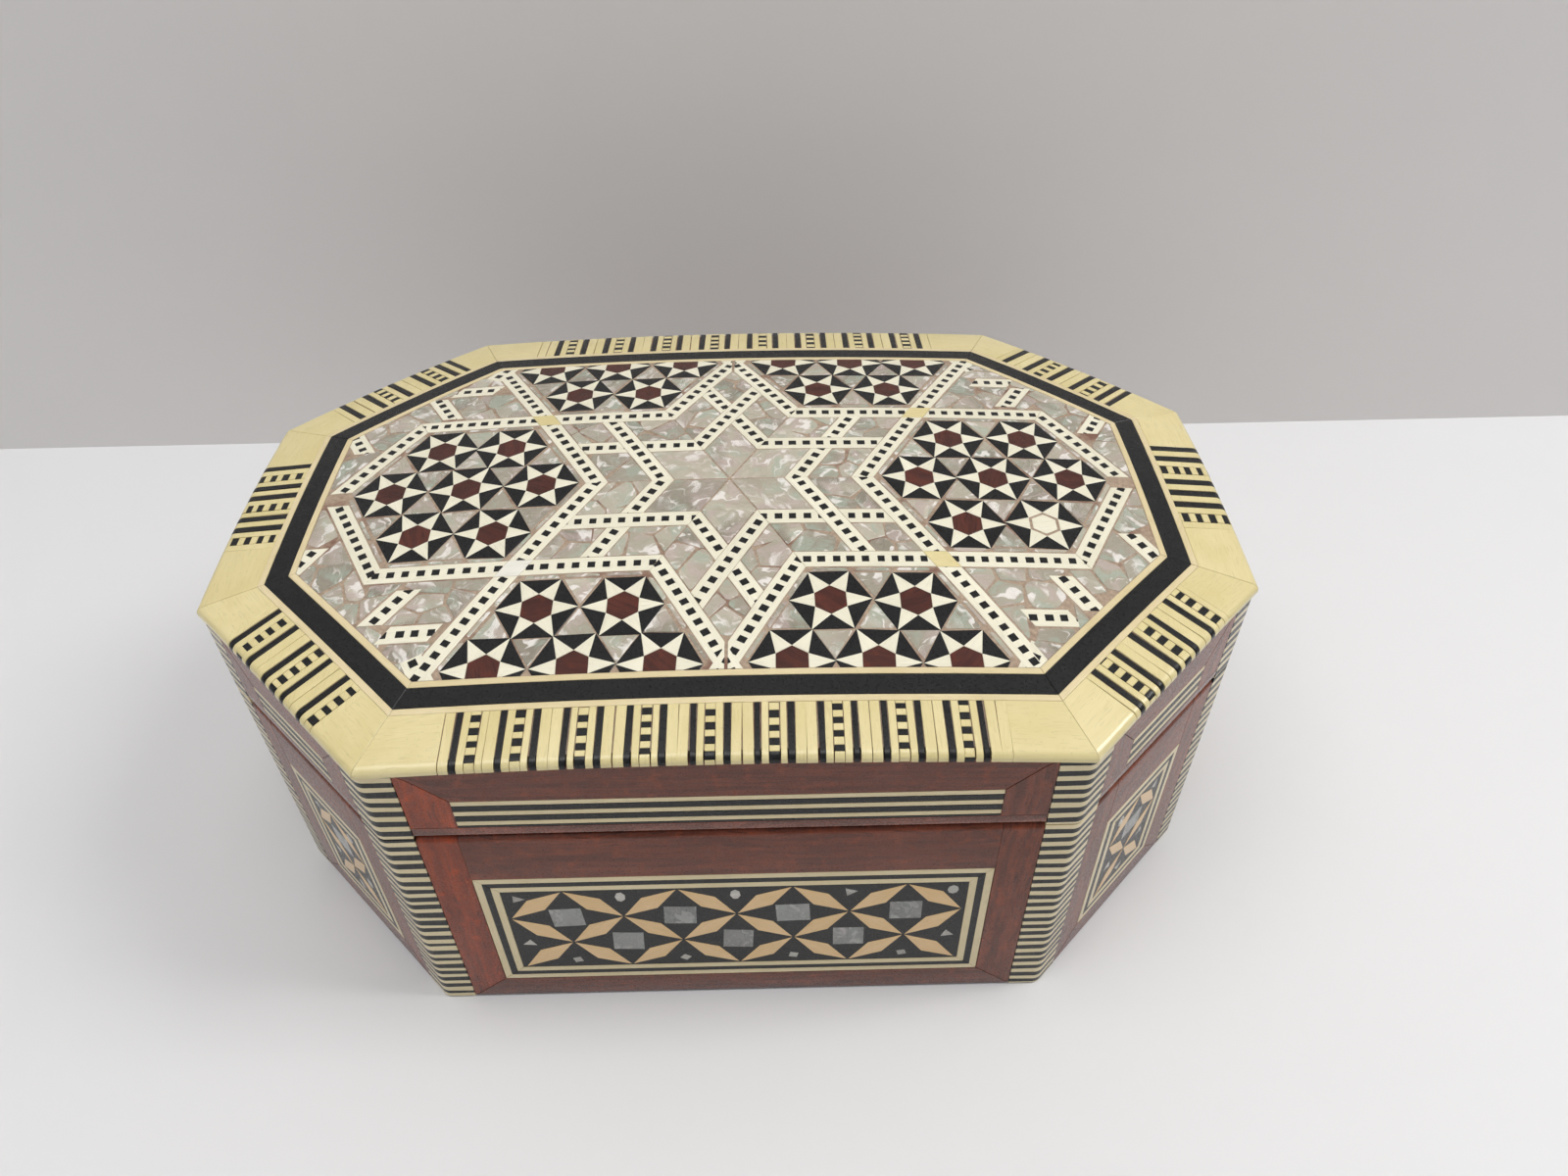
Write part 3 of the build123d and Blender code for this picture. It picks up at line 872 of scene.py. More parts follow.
def scatter(outline, pitch, rng, clear=()):
    """Seeds spread inside a convex outline, none nearer than a pitch, and outside every outline to clear."""
    middle = sum(outline, Vector((0, 0))) / len(outline)
    seeds = []
    for _ in range(PLACING_TRIES):
        shares = [rng.random() ** 2 + 0.02 for point in outline]
        seed = sum((point * share for point, share in zip(outline, shares)), Vector((0, 0))) / sum(shares)
        seed = middle + (seed - middle) * 1.5
        if not all(inside(seed, line) for line in sides_of(outline, [0.5] * len(outline))):
            continue
        if any(all(inside(seed, line) for line in sides_of(other, [-0.4] * len(other))) for other in clear):
            continue
        if all((seed - other).length > pitch for other in seeds):
            seeds.append(seed)
    return seeds or [middle]


def inside(point, line):
    return line[1].cross(point - line[0]) > 0


def lay_mosaic(sheet, outline, gaps, pitch, rng, lines=(), clear=(), round_off=0.0):
    """Fills an outline with irregular pearl pieces, one round each scattered seed."""
    seeds = scatter(outline, pitch, rng, clear)
    for seed in seeds:
        cuts = sides_of(outline, gaps) + list(lines)
        for other in seeds:
            if other is not seed and (other - seed).length < pitch * 3.2:
                middle, reach = (seed + other) / 2, other - seed
                turn = rng.uniform(-0.2, 0.2)
                cuts.append(keeping(seed, middle, Vector((-reach.y, reach.x)) + reach * turn, rng.uniform(0.08, 0.3)))
        for other in clear:
            far = max(sides_of(other, [0.0] * len(other)), key=lambda line: -line[1].cross(seed - line[0]))
            cuts.append(keeping(seed, far[0], far[1], rng.uniform(0.1, 0.3)))
        square = [seed + swung(45 + 90 * k, pitch * 3) for k in range(4)]
        lay_pearl(sheet, square, [0] * 4, cuts, rng, round_off)


STAR_INNER = [(0, 0), (0.5, 0), (0.75, ROOT3 / 4), (0.25, ROOT3 / 4)]
STAR_RHOMBUS = [(0.75, ROOT3 / 4), (1.25, ROOT3 / 4), (1.5, ROOT3 / 2), (1, ROOT3 / 2)]
CHEVRON_HALVES = ([(0.5, 0), (1, 0), (1.25, ROOT3 / 4), (0.75, ROOT3 / 4)],
                  [(0.5, 0), (0.75, -ROOT3 / 4), (1.25, -ROOT3 / 4), (1, 0)])


class BOX_OT_pearl(bpy.types.Operator):
    """Pieces of mother of pearl between straps and rosettes"""
    bl_idname = "trinket_box.pearl"
    bl_label = "Mother of pearl"

    def execute(self, context):
        field = sizes("field")
        rng = random.Random(field.seed + 2)
        sheet = Sheet()
        for centre in HEXAGONS:
            lay_hexagon_pearl(sheet, centre, rng)
        beside = field.strap_width / 2 + 0.08
        edges = field_lines()
        for step in range(6):
            inner = [lattice(*turned(point, step)) for point in STAR_INNER]
            lay_pearl(sheet, inner, [0.15, beside, beside, 0.15], edges, rng)
            rhombus = [lattice(*turned(point, step)) for point in STAR_RHOMBUS]
            lay_mosaic(sheet, rhombus, [beside] * 4, 4.4 if step % 3 else 5.5, rng, edges)
            for half, gaps in zip(CHEVRON_HALVES, ([0.1, beside, beside, beside], [beside, beside, beside, 0.1])):
                part = [lattice(*turned(point, step)) for point in half]
                lay_mosaic(sheet, part, gaps, field.pearl_pitch * rng.uniform(0.7, 1.0), rng, edges)
        self.lay_corners(sheet, rng, edges)
        crown_piece(sheet, top_inlay - 0.1, "field_pearl", ["pearl"], "mother_of_pearl", "field_marquetry")
        return {"FINISHED"}

    def lay_corners(self, sheet, rng, edges):
        """Pearl between the outer hexagons and the frame, smaller and rounder at the left."""
        field = sizes("field")
        for u in (-1, 1):
            for v in (-1, 1):
                blocks = [[lattice(*hexagon_corner(centre, step)) for step in range(6)] for centre in HEXAGONS
                          if centre[0] * u > 0 and centre[1] * v >= 0]
                clear = [self.grown(block, field.strap_width / 2 / (ROOT3 / 2)) for block in blocks]
                clear += [leftover_outline(item) for item in LEFTOVERS if item[0][0] * u > 0 and item[0][1] * v > 0]
                zone = [Vector((u * x, v * y)) for x, y in (
                    (1.5 * field.hexagon_x, 0.0), (field_half.x, 0.0), (field_half.x, field_half.y),
                    (1.5 * field.hexagon_x, field_half.y))]
                pebbly = u < 0
                lay_mosaic(sheet, zone, [0.1] * 4, 3.3 if pebbly else 4.2, rng, edges, clear, 0.5 if pebbly else 0.0)

    def grown(self, outline, reach):
        middle = sum(outline, Vector((0, 0))) / len(outline)
        return [point + (point - middle).normalized() * reach for point in outline]


class BOX_OT_field_bed(bpy.types.Operator):
    """Filler that the field's pieces are set in"""
    bl_idname = "trinket_box.field_bed"
    bl_label = "Field bed"

    def execute(self, context):
        depth = sizes("field").bed_depth
        sheet = Sheet()
        sheet.piece(corners(field_inset))
        sheet.follow_crown()
        sheet.thicken(top_inlay - depth, 0)
        sheet.map_grain()
        sheet.raise_to_crown(top_inlay)
        for vert in sheet.bm.verts:
            vert.co.z -= depth
        sheet.finish("field_bed", ["paste"], "lid", "marquetry", "field_marquetry")
        return {"FINISHED"}


# ---------------------------------------------------------------- the sides

def half_zone(face):
    """Half the width between the corner strips of a face."""
    return face_length(face, overhang) / 2 - sizes("side").strip_width


def rim_rows(rim, radius, downwards):
    """Heights beside a worn rim where pieces are cut so that they can roll over."""
    sign = -1 if downwards else 1
    return [rim + sign * radius * share for share in (0.05, 0.18, 0.4, 0.7, 1.0)]


class SidePiece:
    """Gathers the flat pieces of one name on all eight faces, each face in its own flat coordinates."""

    def __init__(self):
        self.sheet = Sheet()

    def add(self, face, flat, upper):
        """Cuts, thickens and rolls one face's sheet and moves it onto the face."""
        side = sizes("side")
        radius = side.rim_round
        rows = rim_rows(lid_rim, radius, False) if upper else rim_rows(body_rim, radius, True)
        rows += [] if upper else rim_rows(foot_z, side.foot_round, False)
        for row in rows:
            flat.cut_all((0, row, 0), (0, 1, 0))
        if upper:
            for column in range(-6, 7):
                flat.cut_all((column * 7.5 + 0.2, 0, 0), (1, 0, 0))
        flat.thicken(carcase_inset - overhang, side.piece_edge)
        flat.map_grain()
        for vert in flat.bm.verts:
            if vert.co.z > -0.6:
                if upper:
                    vert.co.z -= roll(vert.co.y - lid_rim, radius)
                else:
                    vert.co.z -= roll(body_rim - vert.co.y, radius) + roll(vert.co.y - foot_z, side.foot_round)
        flat.pour_into(self.sheet, face_matrix(face))

    def finish(self, name, materials, body, slot, *replaces):
        ceiling = top_inlay + 0.02
        for vert in self.sheet.bm.verts:
            vert.co.z = min(vert.co.z, crown_z(vert.co.x, vert.co.y, ceiling))
        return self.sheet.finish(name, materials, body, slot, *replaces)


UPRIGHT = math.pi / 2


def lines_band():
    """Bottom and top of the lid's stack of stringing lines."""
    side = sizes("side")
    bottom = lid_rim + side.lid_bottom_rail
    return bottom, bottom + side.lid_under_line + 3 * side.lid_bone_line + 2 * side.lid_black_line


def lid_mitre_top(face):
    """Height of a lid stile's outer tip, just under the border."""
    tip = on_face(face, half_zone(face), overhang)
    return crown_z(tip.x, tip.y, top_inlay) + sizes("side").lid_stile_reach


def shrunk(outline, gap):
    """A convex outline drawn in by half a joint."""
    middle = sum(outline, Vector((0, 0))) / len(outline)
    return [point + (middle - point).normalized() * gap for point in outline]


def wood_piece(flat, outline, rng, upright, kind=0, gap=0.0):
    """A rail or stile with its grain along its length."""
    points = shrunk([Vector(point) for point in outline], gap or sizes("side").joint / 2)
    flat.piece(points, kind, rng.random(), UPRIGHT * upright + rng.uniform(-0.05, 0.05), rng.uniform(-0.05, 0.0))


class BOX_OT_woodwork(bpy.types.Operator):
    """Rails and stiles veneered round the sides of body and lid"""
    bl_idname = "trinket_box.woodwork"
    bl_label = "Rails and stiles"

    def execute(self, context):
        side = sizes("side")
        rng = random.Random(61)
        body_rails, body_stiles, lid_rails, lid_stiles = SidePiece(), SidePiece(), SidePiece(), SidePiece()
        for face in FACES:
            outer = half_zone(face) - 0.03
            inner = outer - side.body_stile
            rails, stiles = Sheet(), Sheet()
            wood_piece(rails, [(-outer, foot_z), (outer, foot_z), (inner, foot_z + side.body_bottom_rail),
                               (-inner, foot_z + side.body_bottom_rail)], rng, False)
            wood_piece(rails, box_outline(-inner, inner, body_rim - side.body_top_rail, body_rim), rng, False)
            for hand in (-1, 1):
                warm = 1 if hand < 0 and face == FRONT else 0
                wood_piece(stiles, [(hand * outer, foot_z), (hand * inner, foot_z + side.body_bottom_rail),
                                    (hand * inner, body_rim), (hand * outer, body_rim)], rng, True, warm)
            body_rails.add(face, rails, False)
            body_stiles.add(face, stiles, False)
            inner = outer - side.lid_stile
            lines_bottom, lines_top = lines_band()
            tip, top = lid_mitre_top(face), lid_top + 1
            rails, stiles = Sheet(), Sheet()
            # The lid's bottom rail takes the third finish: rosewood painted lighter, a painted reflection along the
            # rounded lower edge.
            wood_piece(rails, box_outline(-outer, outer, lid_rim, lines_bottom), rng, False, 2)
            wood_piece(rails, [(-inner, lines_top), (inner, lines_top), (outer, tip), (outer, top), (-outer, top),
                               (-outer, tip)],
                       rng, False)
            for hand in (-1, 1):
                warm = 1 if hand < 0 and face == FRONT else 0
                wood_piece(stiles, [(hand * outer, lines_bottom), (hand * inner, lines_bottom),
                                    (hand * inner, lines_top),
                                    (hand * outer, tip)], rng, True, warm)
            lid_rails.add(face, rails, True)
            lid_stiles.add(face, stiles, True)
        woods = ["rosewood", "orange wood", "rubbed wood"]
        body_rails.finish("body_rails", woods, "box", "rosewood", "body_rails")
        body_stiles.finish("body_stiles", woods, "box", "rosewood", "body_stiles")
        lid_rails.finish("lid_rails", woods, "lid", "rosewood", "lid_rails")
        lid_stiles.finish("lid_stiles", woods, "lid", "rosewood", "lid_stiles")
        return {"FINISHED"}


def tablet_frame(face):
    """Half width, bottom and top of the lines round a face's tablet."""
    side = sizes("side")
    return (half_zone(face) - side.body_stile - 0.15, foot_z + side.body_bottom_rail + 0.05,
            body_rim - side.body_top_rail - 0.05)


def lay_frame_line(flat, face, inset, width, rng):
    """Four mitred lengths of one line round a tablet."""
    half, bottom, top = tablet_frame(face)
    outer = [Vector(p) for p in box_outline(-half + inset, half - inset, bottom + inset, top - inset)]
    inset += width
    inner = [Vector(p) for p in box_outline(-half + inset, half - inset, bottom + inset, top - inset)]
    for k in range(4):
        following = (k + 1) % 4
        flat.piece(shrunk([outer[k], outer[following], inner[following], inner[k]], 0.04), 0, rng.random(),
                   UPRIGHT * (k % 2), rng.uniform(-0.03, 0.0))


class BOX_OT_side_lines(bpy.types.Operator):
    """Bone and black lines round the tablets and along the lid's sides"""
    bl_idname = "trinket_box.side_lines"
    bl_label = "Side lines"

    def execute(self, context):
        side = sizes("side")
        rng = random.Random(73)
        body_bone, body_black, lid_bone, lid_black = SidePiece(), SidePiece(), SidePiece(), SidePiece()
        stack = [("black", side.lid_under_line), ("bone", side.lid_bone_line), ("black", side.lid_black_line),
                 ("bone", side.lid_bone_line), ("black", side.lid_black_line), ("bone", side.lid_bone_line)]
        for face in FACES:
            bone, black = Sheet(), Sheet()
            lay_frame_line(bone, face, 0, side.body_bone_line, rng)
            lay_frame_line(black, face, side.body_bone_line, side.body_black_line, rng)
            lay_frame_line(bone, face, side.body_bone_line + side.body_black_line, side.body_bone_line, rng)
            body_bone.add(face, bone, False)
            body_black.add(face, black, False)
            half = half_zone(face) - side.lid_stile
            bone, black = Sheet(), Sheet()
            place = lines_band()[0]
            for kind, height in stack:
                outline = box_outline(-half + 0.04, half - 0.04, place + 0.03, place + height - 0.03)
                (bone if kind == "bone" else black).piece(outline, 0, rng.random(), rng.uniform(-0.01, 0.01),
                                                          rng.uniform(-0.04, 0.0))
                place += height
            lid_bone.add(face, bone, True)
            lid_black.add(face, black, True)
        body_bone.finish("body_bone_lines", ["line bone"], "box", "bone", "body_bone_lines")
        body_black.finish("body_black_lines", ["black"], "box", "black_inlay", "body_black_lines")
        lid_bone.finish("lid_bone_lines", ["line bone"], "lid", "bone", "lid_bone_lines")
        lid_black.finish("lid_black_lines", ["black"], "lid", "black_inlay", "lid_black_lines")
        return {"FINISHED"}


GROUND, TAN, SHELL, CHIP = 0, 1, 2, 3
CHIP_SHAPES = ((7, 0.85, 1.35), (8, 0.9, 1.2), (3, 1.25, 1.25), (3, 1.3, 1.1), (4, 1.0, 1.0), (6, 0.95, 1.2))


class BOX_OT_tablets(bpy.types.Operator):
    """Tablets of tan bone lozenges and grey pearl squares on black"""
    bl_idname = "trinket_box.tablets"
    bl_label = "Side tablets"

    def execute(self, context):
        side = sizes("side")
        rng = random.Random(97)
        tablets = SidePiece()
        for face in FACES:
            half, bottom, top = tablet_frame(face)
            edge = 2 * side.body_bone_line + side.body_black_line
            half, bottom, top = half - edge, bottom + edge, top - edge
            columns = 8 if face in (FRONT, BACK) else 2
            cell = Vector((2 * (half - 0.5) / columns, (top - bottom - 0.5) / 3))
            start = Vector((-half + 0.5, bottom + 0.25))
            ground, flat = Sheet(), Sheet()
            ground.piece(box_outline(-half + 0.03, half - 0.03, bottom + 0.03, top - 0.03), GROUND, rng.random(),
                         0, -side.bed_depth)
            self.lay_lozenges(flat, start, cell, columns, rng)
            self.lay_shell(flat, start, cell, columns, rng)
            tablets.add(face, ground, False)
            flat.trim(flat.bm.faces[:], [(Vector((-half, 0)), Vector((0, -1))), (Vector((half, 0)), Vector((0, 1)))])
            tablets.add(face, flat, False)
        tablets.finish("body_marquetry_tablets", ["black", "side bone", "grey pearl", "pale pearl"], "box", "marquetry",
                       "body_marquetry_tablets")
        return {"FINISHED"}

    def lay_lozenges(self, flat, start, cell, columns, rng):
        """A lozenge along every edge of the half-cell lattice."""
        for row in range(3):
            for column in range(columns):
                rising = (column + row) % 2 == 0
                low_end = start + Vector(((column if rising else column + 1) * cell.x, row * cell.y))
                high_end = start + Vector(((column + 1 if rising else column) * cell.x, (row + 1) * cell.y))
                run = high_end - low_end
                side_step = Vector((-run.y, run.x)) * 0.155
                wobble = [Vector((rng.uniform(-0.12, 0.12), rng.uniform(-0.12, 0.12))) for _ in range(4)]
                middle = (low_end + high_end) / 2
                flat.piece([low_end + run * 0.02 + wobble[0] * 0.5, middle - side_step + wobble[1],
                            high_end - run * 0.02 + wobble[2] * 0.5,
                            middle + side_step + wobble[3]], TAN, rng.random(), math.atan2(run.y, run.x))

    def lay_shell(self, flat, start, cell, columns, rng):
        """Pearl squares in the whole cells and small chips in the cut ones at the edges."""
        half_square = sizes("side").pearl_square / 2
        for row in range(4):
            for column in range(columns + 1):
                if (column + row) % 2 == 0:
                    continue
                middle = start + Vector((column * cell.x, row * cell.y))
                at_edge = row in (0, 3) or column in (0, columns)
                if not at_edge:
                    turn = rng.uniform(-4, 4) + 45
                    tall = rng.uniform(0.94, 1.06)
                    outline = [middle + swung(90 * k + turn, half_square * 1.41 * tall, half_square * 1.41 / tall)
                               for k in range(4)]
                    flat.piece(outline, SHELL, rng.random(), rng.uniform(1.2, 1.9), -0.01)
                    continue
                corners_count, wide, tall = rng.choice(CHIP_SHAPES)
                inward = Vector((1.9 if column == 0 else -1.9 if column == columns else 0,
                                 1.9 if row == 0 else -1.9 if row == 3 else 0))
                turn = rng.uniform(0, 360)
                outline = [middle + inward + swung(360 * k / corners_count + turn, wide, tall)
                           for k in range(corners_count)]
                flat.piece(outline, CHIP, rng.random(), rng.uniform(0, 3), -0.01)


class BOX_OT_corner_strips(bpy.types.Operator):
    """Laminated strips of bone and black round the upright corners, worn round"""
    bl_idname = "trinket_box.corner_strips"
    bl_label = "Corner strips"

    def execute(self, context):
        rng = random.Random(131)
        for name, body, bottom, top, rim in (
            ("body_corner_strips", "box", foot_z, body_rim, body_rim),
            ("lid_corner_strips", "lid", lid_rim, lid_top + 1, lid_rim),
        ):
            sheet = Sheet()
            for face in FACES:
                self.lay_strip(face, bottom, top, rim, rng).pour_into(sheet)
            for vert in sheet.bm.verts:
                vert.co.z = min(vert.co.z, crown_z(vert.co.x, vert.co.y, top_inlay + 0.02))
            sheet.finish(name, ["line bone", "black"], body, "striped_strip", name)
        return {"FINISHED"}

    def lay_strip(self, face, bottom, top, rim, rng):
        """One corner: its section drawn in plan, pulled up, rounded, and cut at every lamination."""
        side = sizes("side")
        strip = Sheet()
        width = side.strip_width - 0.04
        before, after = face - 1, face
        corner, back = corner_at(face, overhang), corner_at(face, carcase_inset)
        outline = [corner - along(before) * width, corner, corner + along(after) * width,
                   corner + along(after) * width - outward(after) * (carcase_inset - overhang), back,
                   corner - along(before) * width - outward(before) * (carcase_inset - overhang)]
        section = strip.piece(outline, 0, rng.random(), face_turn(face), bottom)
        bm = strip.bm
        pulled = bmesh.ops.extrude_face_region(bm, geom=section, use_keep_orig=True)
        risen = [item for item in pulled["geom"] if isinstance(item, bmesh.types.BMVert)]
        bmesh.ops.translate(bm, vec=(0, 0, top - bottom), verts=risen)
        bmesh.ops.recalc_face_normals(bm, faces=bm.faces[:])
        upright = [e for e in bm.edges if all((v.co.xy - corner).length < 0.01 for v in e.verts)]
        bmesh.ops.bevel(bm, geom=upright, offset=side.corner_round * math.tan(math.radians(22.5)), segments=6,
                        profile=0.5,
                        affect="EDGES", material=-1, clamp_overlap=True)
        out = (outward(before) + outward(after)).normalized()
        rim_edges = [e for e in bm.edges if all(abs(v.co.z - rim) < 0.01 for v in e.verts)
                     and all(min(depth_inside(before, v.co.xy), depth_inside(after, v.co.xy)) < overhang + 0.05
                             for v in e.verts)
                     and abs((e.verts[0].co - e.verts[1].co).xy.normalized().dot(out)) < 0.75]
        bmesh.ops.bevel(bm, geom=rim_edges, offset=side.rim_round, segments=4, profile=0.5, affect="EDGES", material=-1,
                        clamp_overlap=True)
        self.cut_laminations(strip, bottom, top, rng)
        return strip

    def cut_laminations(self, strip, bottom, top, rng):
        """Cuts the strip at uneven, slightly tilted heights and paints every other lamination black."""
        pitch = sizes("side").stripe_pitch
        levels = []
        level = bottom + rng.uniform(0.2, 0.9) * pitch / 2
        dark = True
        while level < top:
            tilt = Vector((rng.uniform(-0.03, 0.03), rng.uniform(-0.03, 0.03), 1)).normalized()
            middle = strip.bm.verts[:][0].co.copy()
            middle.z = level
            strip.cut_all(middle, tilt)
            levels.append((middle, tilt))
            level += pitch / 2 * (1.06 if dark else 0.94) * rng.uniform(0.88, 1.12)
            dark = not dark
        for part in strip.bm.faces:
            centre = part.calc_center_median()
            below = sum((centre - point).dot(tilt) > 0 for point, tilt in levels)
            part.material_index = below % 2


# ---------------------------------------------------------------- velvet
# Rows that a soft panel is cut into: how far they reach along and across, their pitch, and a shift off the corners.
PANEL_REACH = ((Vector((1, 0, 0)), 80), (Vector((0, 1, 0)), 54))
PANEL_ROW = 4
PANEL_SHIFT = 0.07


def draw_up(bm, faces, height):
    """Extrudes flat faces straight up into closed solids."""
    pulled = bmesh.ops.extrude_face_region(bm, geom=faces, use_keep_orig=True)
    bmesh.ops.translate(bm, vec=(0, 0, height), verts=[v for v in pulled["geom"] if isinstance(v, bmesh.types.BMVert)])


class BOX_OT_linings(bpy.types.Operator):
    """Velvet on the floor and walls, and the padded panel in the lid"""
    bl_idname = "trinket_box.linings"
    bl_label = "Velvet linings"

    def execute(self, context):
        self.panel("floor_lining", "box", "floor_lining", 0.35, up=True, fill=0.3)
        self.panel("lid_pad", "lid", "lid_pad", 0.7, up=False, fill=0.5)
        self.walls("body_wall_lining", "box")
        self.walls("lid_wall_lining", "lid")
        return {"FINISHED"}

    def panel(self, name, body, node, swell, up, fill):
        """A soft panel: crowned towards its middle, its edge turned over and eased by hand stretching."""
        lowest, highest = low(node), high(node)
        inset = outline_half.x - highest.x
        thick = highest.z - lowest.z
        bm = bmesh.new()
        outline = corners(inset)
        bm.faces.new([bm.verts.new((point.x, point.y, lowest.z)) for point in outline])
        draw_up(bm, bm.faces[:], thick)
        bmesh.ops.recalc_face_normals(bm, faces=bm.faces[:])
        face_z = highest.z if up else lowest.z
        rim = [e for e in bm.edges if all(abs(v.co.z - face_z) < 0.01 for v in e.verts)]
        bmesh.ops.bevel(bm, geom=rim, offset=thick * 0.45, segments=3, profile=0.5, affect="EDGES", material=-1)
        for axis, reach in PANEL_REACH:
            for row in range(-reach, reach + 1, PANEL_ROW):
                geom = bm.verts[:] + bm.edges[:] + bm.faces[:]
                bmesh.ops.bisect_plane(bm, geom=geom, dist=CLOSE, plane_co=axis * (row + PANEL_SHIFT), plane_no=axis)
        for vert in bm.verts:
            if abs(vert.co.z - face_z) < thick * 0.46:
                inner = min(depth_inside(face, vert.co.xy) for face in FACES) - inset
                hollow = swell * math.exp(-inner / 4.0) if inner > 0.01 else 0.0
                ripple = 0.12 * math.sin(vert.co.x * 0.16 + 1.3) * math.sin(vert.co.y * 0.21 + 0.4)
                vert.co.z += (-1 if up else 1) * (hollow * 0.6 + abs(ripple))
        piece = make_piece(bm, name, ["velvet"], body, "velvet", node)

    def walls(self, node, body):
        """Cloth strips round the inside, folded over at the rim."""
        lowest, highest = low(node), high(node)
        outer = outline_half.x - highest.x
        bm = bmesh.new()
        inner = outer + sizes("lining").wall_thickness
        for face in FACES:
            section = bm.faces.new([bm.verts.new((p.x, p.y, lowest.z)) for p in ring_side(face, outer, inner)])
            draw_up(bm, [section], highest.z - lowest.z)
        bmesh.ops.recalc_face_normals(bm, faces=bm.faces[:])
        rim = highest.z if body == "box" else lowest.z
        fold = [e for e in bm.edges if all(abs(v.co.z - rim) < 0.01 for v in e.verts)
                and all(abs(min(depth_inside(f, v.co.xy) for f in FACES) - inner) < 0.02 for v in e.verts)]
        bmesh.ops.bevel(bm, geom=fold, offset=0.6, segments=3, profile=0.5, affect="EDGES", material=-1)
        make_piece(bm, node, ["velvet"], body, "velvet", node)


class LiningSizes(bpy.types.PropertyGroup):
    """The cloth inside."""
    wall_thickness: size("Wall lining thickness", "Thickness of the cloth-covered strips on the walls", 1.0)


# ---------------------------------------------------------------- shared effects

class Tree:
    """Short calls for adding nodes to a node tree."""

    def __init__(self, tree):
        self.tree = tree

    def add(self, kind, inputs=None, **settings):
        """A node with its settings, and its inputs given as values or as sockets to link from."""
        node = self.tree.nodes.new("ShaderNode" + kind)
        for name, value in settings.items():
            setattr(node, name, value)
        for name, value in (inputs or {}).items():
            socket = node.inputs[name]
            if isinstance(value, bpy.types.NodeSocket):
                self.tree.links.new(value, socket)
            else:
                socket.default_value = value
        return node

    def math(self, operation, first, second=0.0, clamp=False):
        return self.add("Math", {0: first, 1: second}, operation=operation, use_clamp=clamp).outputs[0]

    def between(self, value, low_in, high_in, low_out=0.0, high_out=1.0):
        inputs = {"Value": value, "From Min": low_in, "From Max": high_in, "To Min": low_out, "To Max": high_out}
        return self.add("MapRange", inputs, interpolation_type="SMOOTHSTEP").outputs[0]

    def mix(self, factor, first, second, blend="MIX"):
        return self.add("Mix", {0: factor, 6: first, 7: second}, data_type="RGBA", blend_type=blend).outputs[2]

    def noise(self, vector, scale, detail=3.0, roughness=0.55, distortion=0.0):
        inputs = {"Vector": vector, "Scale": scale, "Detail": detail, "Roughness": roughness, "Distortion": distortion}
        return self.add("TexNoise", inputs).outputs[0]

    def tinted(self, base, mask, share, colour):
        """The base colour drawn towards another where a mask is high, by a share of the way."""
        return self.mix(self.math("MULTIPLY", mask, share), base, colour)

    def millimetres(self):
        """Object coordinates, in millimetres."""
        place = self.add("TexCoord").outputs["Object"]
        return self.add("VectorMath", {0: place, "Scale": 1000.0}, operation="SCALE").outputs[0]

    def stretched(self, vector, x, y, z=1.0):
        return self.add("Mapping", {"Vector": vector, "Scale": (x, y, z)}).outputs[0]

    def group(self, name, inputs=None):
        node = self.tree.nodes.new("ShaderNodeGroup")
        node.node_tree = effect_named(name)
        for key, value in (inputs or {}).items():
            if isinstance(value, bpy.types.NodeSocket):
                self.tree.links.new(value, node.inputs[key])
            else:
                node.inputs[key].default_value = value
        return node.outputs


def build_piece_tone(tree, work, given, result):
    """Random values for each piece, drawn from its tone."""
    tone = work.add("Attribute", attribute_name="tone").outputs["Fac"]
    noise = work.add("TexWhiteNoise", {"W": work.math("MULTIPLY", tone, 917.0)}, noise_dimensions="1D")
    tree.links.new(noise.outputs["Value"], result["Value"])
    tree.links.new(noise.outputs["Color"], result["Colour"])


def build_grain(tree, work, given, result):
    """Long fibres along the piece's own grain: a mask of streaks, one of pores, and a height."""
    flow = work.add("UVMap", uv_map="grain").outputs[0]
    bend = work.noise(work.stretched(flow, 0.06, 0.12), 1.0, 2.0)
    bent = work.add("VectorMath",
                    {0: flow, 1: work.add("CombineXYZ", {"Y": work.math("MULTIPLY", bend, 3.0)}).outputs[0]},
                    operation="ADD").outputs[0]
    lines = work.noise(work.add("VectorMath", {0: work.stretched(bent, 0.05, 0.62), "Scale": given["Density"]},
                                operation="SCALE").outputs[0], 1.0, 5.0, 0.62)
    pores = work.noise(work.add("VectorMath", {0: work.stretched(bent, 0.28, 3.2), "Scale": given["Density"]},
                                operation="SCALE").outputs[0], 1.0, 2.0, 0.5)
    pore_mask = work.between(pores, 0.56, 0.68)
    tree.links.new(work.between(lines, 0.36, 0.64), result["Streaks"])
    tree.links.new(pore_mask, result["Pores"])
    height = work.math("SUBTRACT", work.math("MULTIPLY", lines, 0.5), work.math("MULTIPLY", pore_mask, 0.6))
    tree.links.new(height, result["Height"])


def build_grime(tree, work, given, result):
    """Patches and specks of age over the whole object, on object coordinates."""
    scaled = work.millimetres()
    patches = work.noise(scaled, 0.11, 4.0, 0.6)
    blots = work.noise(scaled, 0.55, 3.0, 0.6)
    specks = work.add("TexVoronoi", {"Vector": scaled, "Scale": 0.9, "Randomness": 1.0},
                      feature="F1").outputs["Distance"]
    tree.links.new(work.between(patches, 0.4, 0.7), result["Patches"])
    tree.links.new(work.between(blots, 0.52, 0.74), result["Blots"])
    tree.links.new(work.between(specks, 0.16, 0.05), result["Specks"])


